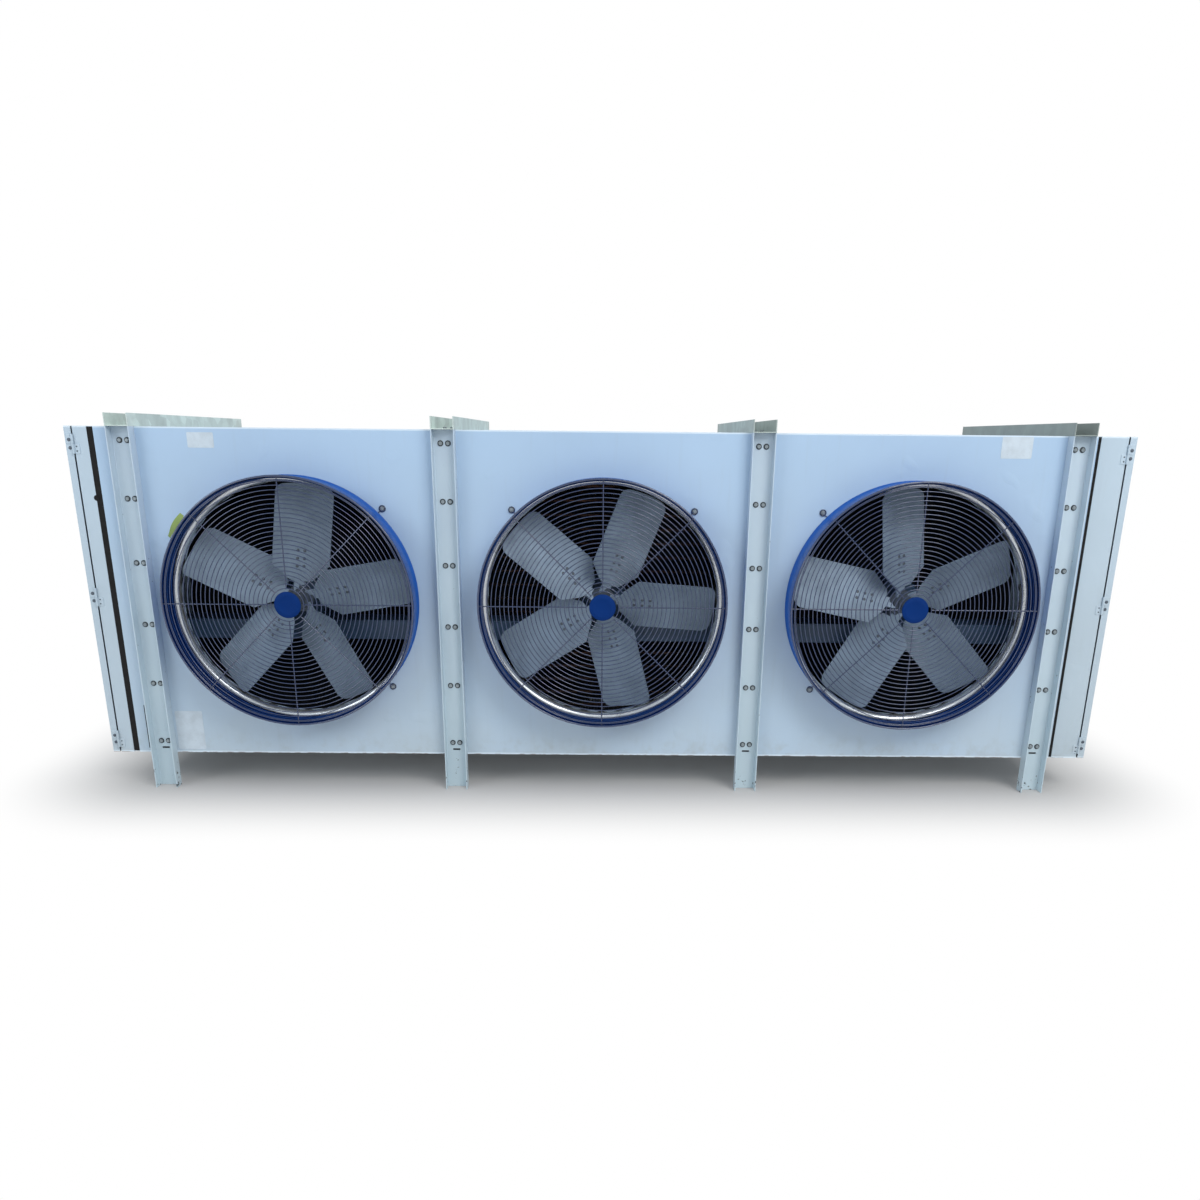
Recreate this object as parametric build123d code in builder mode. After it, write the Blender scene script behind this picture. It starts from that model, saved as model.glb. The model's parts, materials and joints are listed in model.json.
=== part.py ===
"""Three-fan refrigeration evaporator (unit cooler) on legs, in millimetres.

The row of fans runs along X, the air leaves towards -Y, and +Z is up. The origin is on the
floor, in the middle of the length and of the depth, guards and rear legs included.
"""
import math
import os

from build123d import *

# Cabinet
bay_width = 1016.0          # spacing of the fans and of the legs
bay_count = 3
cabinet_depth = 890.0       # front sheet to rear face
cabinet_bottom = 120.0      # clear height under the cabinet
cabinet_top = 1207.0        # top of the sheet metal, where the legs end
sheet = 2.0                 # painted sheet
return_width = 30.0         # folded edges of the sheets
coil_plate = 3.0            # end walls that also hold the coil

# Channels of the legs and of the roof
channel_width = 74.0
channel_flange = 38.0
channel_wall = 3.0
hanger_height = 40.0        # roof channels, web and flanges
hanger_hole_radius = 7.0
hanger_hole_inset = 70.0    # hole centre to the end of the channel
slot_length = 26.0          # slot low in each front leg
slot_width = 6.0
slot_height = 138.0

# Fan opening
fan_height = 662.0          # fan axis above the floor
round_sides = 40            # flats on the large rings, few enough to keep the facets down
ring_bore = 381.0           # orifice ring, inner radius
ring_wall = 2.0
ring_lip = 36.0             # reach of the ring in front of the sheet
ring_flange = 20.0          # width of the flange behind the sheet
collar_radius = 398.0       # outside of the guard collar
collar_wall = 2.0
collar_reach = 110.0
eye_count = 4               # bolting eyes around the foot of the collar
eye_angle = 45.0            # first eye, from +X
eye_offset = 15.5           # bolt to the outside of the collar
eye_radius = 12.0
eye_sides = 8
eye_stem = 10.0             # width of the strip from the collar to the eye

# Wire guard
rim_wire = 8.0
ring_wire = 5.0
spoke_count = 8
guard_ring_count = 4        # the real guard has about 26 finer rings
ring_sides = 16
guard_disc_radius = 43.0

# Fan and motor
blade_count = 5
blade_tip_radius = 371.0
blade_width = 162.0         # seen from the front, the same from the tip to the shoulders
blade_shoulder_radius = 114.0         # where the blade starts to narrow towards the boss
blade_root_radius = 58.0
blade_root_width = 60.0
blade_pitch = 29.0          # degrees out of the plane of rotation
blade_sheet = 3.0
blade_camber = 12.0         # rise of the arc over the chord
blade_corner = 32.0         # rounding of the tip corners
blade_setback = 24.0        # middle of the blades behind the front sheet
blade_angles = (154.0, 140.0, 96.0)   # first blade of each fan, anticlockwise from +X
boss_radius = 46.0          # boss that carries the arms, to its corners
boss_length = 32.0
boss_lead = 4.0             # boss in front of the middle of the blades
arm_reach = 190.0           # end of the arms behind the blades
arm_width = 34.0
arm_plate = 8.0
arm_lap = 1.5               # arm into the back of the blade
shaft_radius = 12.0
shaft_clearance = 0.3       # shaft end to motor
motor_radius = 80.0
motor_sides = 24            # flats on the motor barrel
motor_length = 200.0
motor_gap = 24.0            # boss to motor, clear of the blade roots
motor_foot_width = 130.0
motor_foot = 10.0
rail_height = 68.0
rail_depth = 120.0
rail_wall = 4.0

# Coil
coil_gap = 64.0             # motors to coil
coil_recess = 20.0          # coil to the rear face
coil_lift = 40.0            # above the base sheet
coil_headroom = 16.0        # below the roof sheet
fin_count = 14              # plates and fins of the coil, in place of its many thin ones
fin_sheet = 3.0
fin_reach = 16.0            # fins beyond the block of tubes, at the front and the rear
rail_face = 64.0            # visible height of the rear rails

# End compartments
end_reach = 186.0           # centre of the last leg to the outside of the door
door_return = 22.0          # front edge of the door
door_gap = 5.0
seam_start = {"left": 94.0, "right": 60.0}    # dark joint, from the centre of the leg
seam_width = {"left": 20.0, "right": 10.0}
seam_lap = 8.0              # seal behind the outer sheet
seam_seal = 3.0
seam_recess = 1.0

# Door hinges
hinge_inset_low = 48.0      # lowest hinge above the bottom of the sheets
hinge_inset_high = 55.0     # highest hinge below their top
hinge_knuckle = 30.0        # length of each half
hinge_leaf = 2.0
hinge_leaf_width = 20.0
hinge_radius = 4.0
hinge_sides = 12
hinge_clearance = 0.3       # between the two halves
hinge_offset = 4.0          # pin axis in front of the sheets

# Places that follow from the sizes above
front_reach = collar_reach + rim_wire
rear_reach = cabinet_depth + channel_flange
front_y = front_reach - (front_reach + rear_reach) / 2
back_y = front_y + cabinet_depth
leg_centres = [bay_width * (i - bay_count / 2) for i in range(bay_count + 1)]
fan_centres = [bay_width * (i - (bay_count - 1) / 2) for i in range(bay_count)]
last_leg = leg_centres[-1]
base_top = cabinet_bottom + 2 * sheet
roof_bottom = cabinet_top - sheet
door_x = last_leg + end_reach
door_edge = door_x - door_return
cover_x = door_edge - door_gap
end_wall_x = last_leg - sheet
guard_y = front_y - collar_reach
blade_y = front_y + blade_setback
boss_back = blade_y - boss_lead + boss_length
motor_front = boss_back + motor_gap
coil_front = motor_front + motor_length + coil_gap
coil_back = back_y - coil_recess
rail_top = fan_height - motor_radius - motor_foot
coil_x = end_wall_x - coil_plate
hinge_heights = (
    cabinet_bottom + hinge_inset_low,
    (cabinet_bottom + cabinet_top) / 2,
    cabinet_top - hinge_inset_high,
)

pieces = []


def keep(part, label):
    part.label = label
    pieces.append(part)
    return part


def block(label, x, y, z):
    """A plain rectangular sheet or block between pairs of coordinates."""
    with BuildPart() as piece:
        with Locations(((x[0] + x[1]) / 2, (y[0] + y[1]) / 2, (z[0] + z[1]) / 2)):
            Box(abs(x[1] - x[0]), abs(y[1] - y[0]), abs(z[1] - z[0]))
    return keep(piece.part, label)


def facing_front(x, y, z):
    """A plane whose normal points to the front, with local x along X and local y up."""
    return Plane(origin=(x, y, z), x_dir=(1, 0, 0), z_dir=(0, -1, 0))


def front_panel(label, x, left, right):
    """Folded sheet from X = left to X = right with the round fan opening at x."""
    width = right - left
    middle = (left + right) / 2
    fold_y = front_y + sheet + return_width / 2
    with BuildPart() as panel:
        with BuildSketch(facing_front(0, front_y + sheet, 0)):
            with Locations((middle, (cabinet_bottom + cabinet_top) / 2)):
                Rectangle(width, cabinet_top - cabinet_bottom)
            with Locations((x, fan_height)):
                RegularPolygon(ring_bore + ring_wall, round_sides, mode=Mode.SUBTRACT)
        extrude(amount=sheet)
        with BuildSketch(Plane.XY.offset(base_top)):
            with Locations((left + sheet / 2, fold_y), (right - sheet / 2, fold_y)):
                Rectangle(sheet, return_width)
        extrude(amount=roof_bottom - base_top)
        for height in (cabinet_bottom, roof_bottom - sheet):
            with BuildSketch(Plane.XY.offset(height)):
                with Locations((middle, fold_y)):
                    Rectangle(width, return_width)
            extrude(amount=sheet)
    return keep(panel.part, label)


def fan_collar(label, x):
    """Round guard collar with bolting eyes against the sheet."""
    inside = collar_radius - collar_wall
    eye_circle = collar_radius + eye_offset
    with BuildPart() as collar:
        with BuildSketch(facing_front(x, front_y, fan_height)):
            RegularPolygon(collar_radius, round_sides)
            RegularPolygon(inside, round_sides, mode=Mode.SUBTRACT)
        extrude(amount=collar_reach)
        with BuildSketch(facing_front(x, front_y, fan_height)):
            with PolarLocations((inside + eye_circle) / 2, eye_count, start_angle=eye_angle):
                Rectangle(eye_circle - inside, eye_stem)
            with PolarLocations(eye_circle, eye_count, start_angle=eye_angle):
                RegularPolygon(eye_radius, eye_sides)
            RegularPolygon(inside, round_sides, mode=Mode.SUBTRACT)
        extrude(amount=collar_wall)
    return keep(collar.part, label)


def orifice_ring(label, x):
    """Ring that lines the opening: a lip in front of the sheet and a flange behind it."""
    outside = ring_bore + ring_wall
    with BuildPart() as ring:
        with BuildSketch(facing_front(x, front_y + sheet, fan_height)):
            RegularPolygon(outside, round_sides)
            RegularPolygon(ring_bore, round_sides, mode=Mode.SUBTRACT)
        extrude(amount=ring_lip + sheet)
        with BuildSketch(facing_front(x, front_y + sheet + ring_wall, fan_height)):
            RegularPolygon(outside + ring_flange, round_sides)
            RegularPolygon(ring_bore, round_sides, mode=Mode.SUBTRACT)
        extrude(amount=ring_wall)
    return keep(ring.part, label)


def fan_guard(label, x):
    """Wire guard: a rim on the collar, concentric rings and spokes welded flat, and a disc."""
    rim_radius = collar_radius - collar_wall / 2
    pitch = (rim_radius - guard_disc_radius) / (guard_ring_count + 1)
    with BuildPart() as guard:
        with BuildSketch(facing_front(x, guard_y, fan_height)):
            RegularPolygon(rim_radius + rim_wire / 2, 2 * ring_sides)
            RegularPolygon(rim_radius - rim_wire / 2, 2 * ring_sides, mode=Mode.SUBTRACT)
            for i in range(spoke_count // 2):
                Rectangle(2 * rim_radius, ring_wire, rotation=i * 360 / spoke_count)
            for i in range(guard_ring_count):
                radius = guard_disc_radius + pitch * (i + 1)
                with BuildSketch(mode=Mode.PRIVATE) as wire:
                    RegularPolygon(radius + ring_wire / 2, ring_sides)
                    RegularPolygon(radius - ring_wire / 2, ring_sides, mode=Mode.SUBTRACT)
                add(wire.sketch)
            RegularPolygon(guard_disc_radius, ring_sides)
        extrude(amount=rim_wire)
    return keep(guard.part, label)


def fan_blade():
    """One paddle blade along +X: a plate of one curvature and one pitch, cut to its outline,
    on the arm that carries it. Its upper edge is the front one, so it throws the air forward."""
    pitch = math.radians(blade_pitch)
    chord_line = (0, -math.sin(pitch), math.cos(pitch))
    half_tip = math.degrees(math.asin(blade_width / 2 / blade_tip_radius))
    with BuildPart() as blade:
        with BuildSketch(Plane(origin=(blade_root_radius, 0, 0), x_dir=chord_line, z_dir=(1, 0, 0))):
            with BuildLine():
                half = blade_width / 2 / math.cos(pitch) + blade_sheet
                crest = blade_sheet - blade_camber
                front = ThreePointArc((-half, 0), (0, -blade_camber), (half, 0))
                back = ThreePointArc((-half, blade_sheet), (0, crest), (half, blade_sheet))
                Line(front @ 0, back @ 0)
                Line(front @ 1, back @ 1)
            make_face()
        extrude(amount=blade_tip_radius - blade_root_radius)
        with BuildSketch(facing_front(0, 0, 0)):
            with BuildLine():
                tip = CenterArc((0, 0), blade_tip_radius, -half_tip, 2 * half_tip)
                Polyline(
                    tip @ 1,
                    (blade_shoulder_radius, blade_width / 2),
                    (blade_root_radius, blade_root_width / 2),
                    (blade_root_radius, -blade_root_width / 2),
                    (blade_shoulder_radius, -blade_width / 2),
                    tip @ 0,
                )
            make_face()
            fillet(vertices().group_by(Axis.X)[-1], blade_corner)
        extrude(amount=blade_width, both=True, mode=Mode.INTERSECT)
        with BuildSketch(Plane(origin=(boss_radius / 2, 0, 0), x_dir=chord_line, z_dir=(1, 0, 0))):
            with Locations((0, arm_lap - blade_camber - arm_plate / 2)):
                Rectangle(arm_width, arm_plate)
        extrude(amount=arm_reach - boss_radius / 2)
    return blade.part


def fan_rotor(label, x, blade, first_angle):
    """Five blades and their arms round a boss, with the shaft that carries it."""
    turns = [first_angle + 360 / blade_count * i for i in range(blade_count)]
    with BuildPart() as rotor:
        with BuildSketch(facing_front(x, boss_back, fan_height)):
            RegularPolygon(boss_radius, 2 * blade_count, rotation=first_angle)
        extrude(amount=boss_length)
        with Locations(*[Location((x, blade_y, fan_height), (0, -turn, 0)) for turn in turns]):
            add(blade)
        with BuildSketch(facing_front(x, motor_front - shaft_clearance, fan_height)):
            Circle(shaft_radius)
        extrude(amount=motor_gap - shaft_clearance)
    return keep(rotor.part, label)


def fan_motor(label, x):
    """Motor barrel with its mounting foot."""
    with BuildPart() as motor:
        with BuildSketch(facing_front(x, motor_front, fan_height)):
            RegularPolygon(motor_radius, motor_sides)
            with Locations((0, -(motor_radius + motor_foot) / 2)):
                Rectangle(motor_foot_width, motor_radius + motor_foot)
        extrude(amount=-motor_length)
    return keep(motor.part, label)


def motor_rail(label):
    """Open-bottomed channel from end wall to end wall, under the motors."""
    rail_y = motor_front + motor_length / 2
    with BuildPart() as rail:
        with BuildSketch(Plane.YZ.offset(-coil_x)):
            with Locations((rail_y, rail_top - rail_height / 2)):
                Rectangle(rail_depth, rail_height)
            with Locations((rail_y, rail_top - (rail_height + rail_wall) / 2)):
                Rectangle(rail_depth - 2 * rail_wall, rail_height - rail_wall, mode=Mode.SUBTRACT)
        extrude(amount=2 * coil_x)
    return keep(rail.part, label)


def channel_profile(depth):
    """C profile with its web along local y = 0 and its flanges towards +y."""
    with Locations((0, depth / 2)):
        Rectangle(channel_width, depth)
    with Locations((0, (depth + channel_wall) / 2)):
        Rectangle(channel_width - 2 * channel_wall, depth - channel_wall, mode=Mode.SUBTRACT)


def leg(label, x, face_y, outward):
    """Leg channel on the sheets, open side outward, from the floor to the roof."""
    with BuildPart() as channel:
        with BuildSketch(Plane(origin=(x, face_y, 0), x_dir=(outward, 0, 0), z_dir=(0, 0, 1))):
            channel_profile(channel_flange)
        extrude(amount=cabinet_top)
        if outward < 0:
            with BuildSketch(facing_front(x, face_y + sheet, slot_height)):
                Rectangle(slot_length, slot_width)
            extrude(amount=channel_flange, mode=Mode.SUBTRACT)
    return keep(channel.part, label)


def roof_channel(label, x):
    """Channel across the roof, open side up, with a hanger hole near each end."""
    start = front_y - channel_flange
    length = cabinet_depth + 2 * channel_flange
    with BuildPart() as channel:
        with BuildSketch(Plane(origin=(x, start, cabinet_top), x_dir=(-1, 0, 0), z_dir=(0, 1, 0))):
            channel_profile(hanger_height)
        extrude(amount=length)
        with BuildSketch(Plane.XY.offset(cabinet_top)):
            with Locations((x, start + hanger_hole_inset), (x, start + length - hanger_hole_inset)):
                Circle(hanger_hole_radius)
        extrude(amount=channel_wall, mode=Mode.SUBTRACT)
    return keep(channel.part, label)


def finned_coil(label):
    """Block of tubes with the end plates and some of the fins standing proud of it."""
    with BuildPart() as coil:
        with BuildSketch(Plane.XY.offset(base_top + coil_lift)):
            with Locations((0, (coil_front + coil_back) / 2)):
                Rectangle(2 * coil_x, coil_back - coil_front - 2 * fin_reach)
                with GridLocations((2 * coil_x - fin_sheet) / (fin_count - 1), 0, fin_count, 1):
                    Rectangle(fin_sheet, coil_back - coil_front)
        extrude(amount=roof_bottom - coil_headroom - base_top - coil_lift)
    return keep(coil.part, label)


def rear_rail(label, z_low, z_high, flange_z):
    """Folded rail across the open rear face."""
    with BuildPart() as rail:
        with Locations((0, back_y - sheet / 2, (z_low + z_high) / 2)):
            Box(2 * last_leg, sheet, z_high - z_low)
        with Locations((0, back_y - sheet - return_width / 2, flange_z + sheet / 2)):
            Box(2 * coil_x, return_width, sheet)
    return keep(rail.part, label)


def spread(side, inner, outer):
    """Mirror a pair of X distances to the left or the right end."""
    return (side * inner, side * outer) if side > 0 else (side * outer, side * inner)


def seam_seal_strip(label, name, side):
    """Dark seal between two front sheets: a nose in the gap and a lap behind the outer sheet."""
    width = seam_width[name]
    start = seam_inner[name]
    with BuildPart() as seal:
        with BuildSketch(Plane.XY.offset(base_top)):
            with Locations((side * (start + (width + seam_lap) / 2), front_y + sheet + seam_seal / 2)):
                Rectangle(width + seam_lap, seam_seal)
            with Locations((side * (start + width / 2), front_y + (seam_recess + sheet) / 2)):
                Rectangle(width, sheet - seam_recess)
        extrude(amount=roof_bottom - base_top)
    return keep(seal.part, label)


def hinge_leaf_box(side, inner, outer, low_end):
    low, high = spread(side, inner, outer)
    with Locations(((low + high) / 2, front_y - hinge_leaf / 2, low_end + hinge_knuckle / 2)):
        Box(high - low, hinge_leaf, hinge_knuckle)


def hinge_place(side, height):
    return (side * (cover_x + door_gap / 2), front_y - hinge_offset, height)


def end_front(label, side, inner):
    """Fixed sheet beside the door, with the lower halves of the lift-off hinges."""
    low, high = spread(side, inner, cover_x)
    with BuildPart() as front:
        with Locations(((low + high) / 2, front_y + sheet / 2, (cabinet_bottom + cabinet_top) / 2)):
            Box(high - low, sheet, cabinet_top - cabinet_bottom)
        for height in hinge_heights:
            low_end = height - hinge_clearance - hinge_knuckle
            leaf_end = cover_x + door_gap / 2
            hinge_leaf_box(side, leaf_end - hinge_leaf_width, leaf_end, low_end)
            with BuildSketch(Plane(origin=hinge_place(side, low_end))):
                RegularPolygon(hinge_radius, hinge_sides)
            extrude(amount=hinge_knuckle)
    return keep(front.part, label)


def end_door(label, side):
    """Folded end door with the upper halves of its lift-off hinges."""
    height = cabinet_top - cabinet_bottom
    middle = ((front_y + back_y) / 2, (cabinet_bottom + cabinet_top) / 2)
    with BuildPart() as door:
        low, high = spread(side, door_edge, door_x)
        with Locations(((low + high) / 2, *middle)):
            Box(high - low, cabinet_depth, height)
        low, high = spread(side, door_edge, door_x - sheet)
        with Locations(((low + high) / 2, *middle)):
            Box(high - low, cabinet_depth - 2 * sheet, height - 2 * sheet, mode=Mode.SUBTRACT)
        for low_end in hinge_heights:
            leaf_start = cover_x + door_gap / 2
            hinge_leaf_box(side, leaf_start, leaf_start + hinge_leaf_width, low_end)
            with BuildSketch(Plane(origin=hinge_place(side, low_end))):
                RegularPolygon(hinge_radius, hinge_sides)
            extrude(amount=hinge_knuckle)
    return keep(door.part, label)


# Shell of the cabinet
seam_inner = {name: last_leg + seam_start[name] for name in seam_start}
panel_edges = [-seam_inner["left"]] + leg_centres[1:-1] + [seam_inner["right"]]
for index, centre in enumerate(fan_centres):
    front_panel(f"front_panel_{index + 1}", centre, panel_edges[index], panel_edges[index + 1])
cover_y = (front_y + sheet, back_y - sheet)
block("roof_sheet", (-cover_x, cover_x), cover_y, (roof_bottom, cabinet_top))
block("base_pan", (-cover_x, cover_x), cover_y, (cabinet_bottom + sheet, base_top))
rear_rail("rear_top_rail", cabinet_top - rail_face, cabinet_top, roof_bottom - sheet)
rear_rail("rear_bottom_rail", cabinet_bottom, cabinet_bottom + rail_face, cabinet_bottom)

# Coil between the end walls
finned_coil("coil")

# Ends
for name, side in (("left", -1), ("right", 1)):
    block(
        f"end_wall_{name}",
        spread(side, coil_x, end_wall_x),
        (front_y + sheet + return_width, back_y - sheet),
        (base_top, roof_bottom),
    )
    back_height = (cabinet_bottom, cabinet_top)
    block(f"end_back_{name}", spread(side, last_leg, cover_x), (back_y - sheet, back_y), back_height)
    seam_seal_strip(f"seam_seal_{name}", name, side)
    end_front(f"end_front_{name}", side, seam_inner[name] + seam_width[name])
    end_door(f"end_door_{name}", side)

# Channels
for number, centre in enumerate(leg_centres, start=1):
    leg(f"front_leg_{number}", centre, front_y, -1)
    leg(f"rear_leg_{number}", centre, back_y, 1)
    roof_channel(f"roof_channel_{number}", centre)

# Fans
blade = fan_blade()
motor_rail("motor_rail")
for index, centre in enumerate(fan_centres):
    number = index + 1
    fan_collar(f"fan_collar_{number}", centre)
    orifice_ring(f"orifice_ring_{number}", centre)
    fan_guard(f"fan_guard_{number}", centre)
    fan_rotor(f"fan_rotor_{number}", centre, blade, blade_angles[index])
    fan_motor(f"fan_motor_{number}", centre)

os.makedirs("parts", exist_ok=True)
for piece in pieces:
    export_step(piece, f"parts/{piece.label}.step")
print(len(pieces), "pieces")
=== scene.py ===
# %% [markdown]
# A refrigeration evaporator with three fans, dressed around its packed construction model.
# The frame brings every sheet, leg, fan and hinge at its real place, in metres, with +Z up
# and the air blown towards -Y. This script adds the finishes and the small repeated things:
# guard wires, bolts, coil fins, tubes, rivets and stickers.

import json
import math

import bmesh
import bpy
from mathutils import Matrix, Vector

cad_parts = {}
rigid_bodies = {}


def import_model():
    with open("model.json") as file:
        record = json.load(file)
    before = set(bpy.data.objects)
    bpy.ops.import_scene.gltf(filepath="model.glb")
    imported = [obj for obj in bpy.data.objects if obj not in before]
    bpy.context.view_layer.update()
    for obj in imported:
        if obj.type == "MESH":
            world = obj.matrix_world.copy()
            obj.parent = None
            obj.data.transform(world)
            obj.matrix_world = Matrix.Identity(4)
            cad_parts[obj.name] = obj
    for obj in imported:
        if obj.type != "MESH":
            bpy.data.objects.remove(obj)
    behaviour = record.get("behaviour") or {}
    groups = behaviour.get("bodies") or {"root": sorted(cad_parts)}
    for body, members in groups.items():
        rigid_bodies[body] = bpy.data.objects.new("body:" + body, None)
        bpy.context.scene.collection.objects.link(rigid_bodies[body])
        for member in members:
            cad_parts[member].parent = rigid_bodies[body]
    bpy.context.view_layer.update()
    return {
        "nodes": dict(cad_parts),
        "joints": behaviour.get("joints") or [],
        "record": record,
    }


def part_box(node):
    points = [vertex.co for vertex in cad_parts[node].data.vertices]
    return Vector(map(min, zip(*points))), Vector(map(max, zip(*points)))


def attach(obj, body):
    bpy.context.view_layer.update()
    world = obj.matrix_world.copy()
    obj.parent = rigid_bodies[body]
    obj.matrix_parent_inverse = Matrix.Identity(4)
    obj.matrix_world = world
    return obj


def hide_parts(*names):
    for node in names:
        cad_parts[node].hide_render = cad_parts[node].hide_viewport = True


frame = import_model()
scene = bpy.context.scene
print("pieces in the frame:", len(frame["nodes"]))

# %% [markdown]
# Most places can be read from the frame, so nothing is fitted by eye. The front sheets, the
# leg webs and the fan axes are the planes and centres that the small parts sit on. Reading
# them once keeps every later cell short.

# %% Places that the frame gives
FANS = (1, 2, 3)
LEGS = (1, 2, 3, 4)
ENDS = {"left": -1, "right": 1}


def middle(node):
    low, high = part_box(node)
    return (low + high) / 2


def face(node, axis, end):
    """One face of a node's box: axis 0, 1 or 2, and end 0 for the low side or 1 for the high."""
    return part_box(node)[end][axis]


FAN_CENTRES = {i: middle(f"fan_guard_{i}") for i in FANS}
FAN_HEIGHT = FAN_CENTRES[1].z
SHEET_FRONT = face("fan_collar_1", 1, 1)
GUARD_BACK = face("fan_collar_1", 1, 0)
GUARD_FRONT = face("fan_guard_1", 1, 0)
LEG_X = {i: middle(f"front_leg_{i}").x for i in LEGS}
CABINET_BOTTOM = face("end_door_left", 2, 0)
CABINET_TOP = face("end_door_left", 2, 1)
REAR_FACE = face("end_back_left", 1, 1)
print("fan axes at x =", [round(FAN_CENTRES[i].x, 3) for i in FANS], "z =", round(FAN_HEIGHT, 3))
print("front sheets at y =", round(SHEET_FRONT, 4))

# %% [markdown]
# Every finish here is procedural: noise, bands and speckles read the piece's own Object
# coordinates, so a pattern stays put when a door swings. A finish could also be painted into
# a picture, but a picture would have to be unwrapped on every piece. Small helpers keep the
# materials readable: one makes a node and fills its sockets, one mixes two colours, and the
# others read a noise or a coordinate and bring it into the range that a socket needs.

# %% Helpers for node trees
def add_node(tree, kind, inputs=None, **settings):
    """A node with its settings, and its inputs filled by links or plain values."""
    made = tree.nodes.new(kind)
    for name, value in settings.items():
        setattr(made, name, value)
    for socket, value in (inputs or {}).items():
        if isinstance(value, bpy.types.NodeSocket):
            tree.links.new(value, made.inputs[socket])
        else:
            made.inputs[socket].default_value = value
    return made


def mixed(tree, factor, first, second):
    """Colour that goes from first to second as factor goes from 0 to 1."""
    inputs = {0: factor}
    # A Mix node has its two colours at inputs 6 and 7, and gives the mixed one at output 2.
    for socket, colour in ((6, first), (7, second)):
        inputs[socket] = (*colour, 1.0) if isinstance(colour, tuple) else colour
    return add_node(tree, "ShaderNodeMix", inputs, data_type="RGBA").outputs[2]


def calc(tree, operation, first, second):
    return add_node(tree, "ShaderNodeMath", {0: first, 1: second}, operation=operation).outputs[0]


def spread(tree, value, low, high, to_low=0.0, to_high=1.0):
    """Value remapped from low..high to to_low..to_high, and held there beyond."""
    limits = {"From Min": low, "From Max": high, "To Min": to_low, "To Max": to_high}
    return add_node(tree, "ShaderNodeMapRange", {"Value": value, **limits}).outputs["Result"]


# %% Helpers for patterns
def coordinate(tree, axis):
    """X, Y or Z of the piece's own Object coordinates, in metres."""
    place = add_node(tree, "ShaderNodeTexCoord").outputs["Object"]
    return add_node(tree, "ShaderNodeSeparateXYZ", {"Vector": place}).outputs[axis]


def noise(tree, scale, detail, stretch=(1.0, 1.0, 1.0), roughness=0.55):
    """Noise on the piece's own Object coordinates, with scale in cells per metre."""
    place = add_node(tree, "ShaderNodeTexCoord").outputs["Object"]
    mapping = add_node(tree, "ShaderNodeMapping", {"Vector": place, "Scale": stretch})
    inputs = {"Vector": mapping.outputs["Vector"], "Scale": scale, "Detail": detail}
    inputs["Roughness"] = roughness
    return add_node(tree, "ShaderNodeTexNoise", inputs).outputs["Fac"]


def patches(tree, scale, detail, low, high, most=1.0, **pattern):
    """Soft-edged patches: 0 where the noise is below low, and most where it is above high."""
    return spread(tree, noise(tree, scale, detail, **pattern), low, high, 0.0, most)


def wander(tree, scale, detail, low, high):
    """A value that wanders between low and high over the piece, such as a roughness."""
    return spread(tree, noise(tree, scale, detail), 0.3, 0.7, low, high)


def bump(tree, value, strength, distance, under=None):
    """Normal of a relief, laid over an earlier relief where one is given."""
    inputs = {"Height": value, "Strength": strength, "Distance": distance}
    if under is not None:
        inputs["Normal"] = under
    return add_node(tree, "ShaderNodeBump", inputs).outputs["Normal"]


# %% Helpers for materials
def start_material(name, **sockets):
    """A new material with its shader, and the plain values set on the shader's sockets."""
    material = bpy.data.materials.new(name)
    material.use_nodes = True
    shader = material.node_tree.nodes["Principled BSDF"]
    for socket, value in sockets.items():
        shader.inputs[socket.replace("_", " ")].default_value = value
    return material, material.node_tree, shader


def feed(tree, shader, **sockets):
    for socket, value in sockets.items():
        tree.links.new(value, shader.inputs[socket.replace("_", " ")])


def shade(colour, factor):
    """The colour made darker or lighter, and never lighter than white."""
    return tuple(min(1.0, c * factor) for c in colour)


# %% [markdown]
# The cabinet is folded sheet with a baked pale paint. Its tone is painted bluer towards the
# top, a painted reflection of the sky, and greyer low down. It carries faint rain runs
# and a little dust along the bottom fold. A plain colour would look like plastic, so the
# paint is built from several layers: a tone that follows the height, which is the painted sky
# reflection, broad clouds, stretched noise for the runs, a painted highlight along the top
# and bottom folds, and dark brown patches on the cut lower edge. Three bumps finish it: a
# wide buckle, a few knocks and the fine skin of the paint.

# %% Sheet paint
# The high tone is a painted sky reflection, and the fold colour is a painted highlight.
SHEET_LOW = (0.44, 0.53, 0.60)
SHEET_HIGH_SKY_REFLECTION = (0.37, 0.51, 0.68)
SHEET_DUST = (0.33, 0.36, 0.37)
EDGE_DARK_BROWN = (0.16, 0.10, 0.065)
FOLD_HIGHLIGHT = (0.70, 0.80, 0.88)


def near_edge(tree, rise, edge, far, close, most=1.0):
    """0 at the offset far from an edge's height, and most from the offset close onward."""
    return spread(tree, rise, edge + far, edge + close, 0.0, most)


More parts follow.
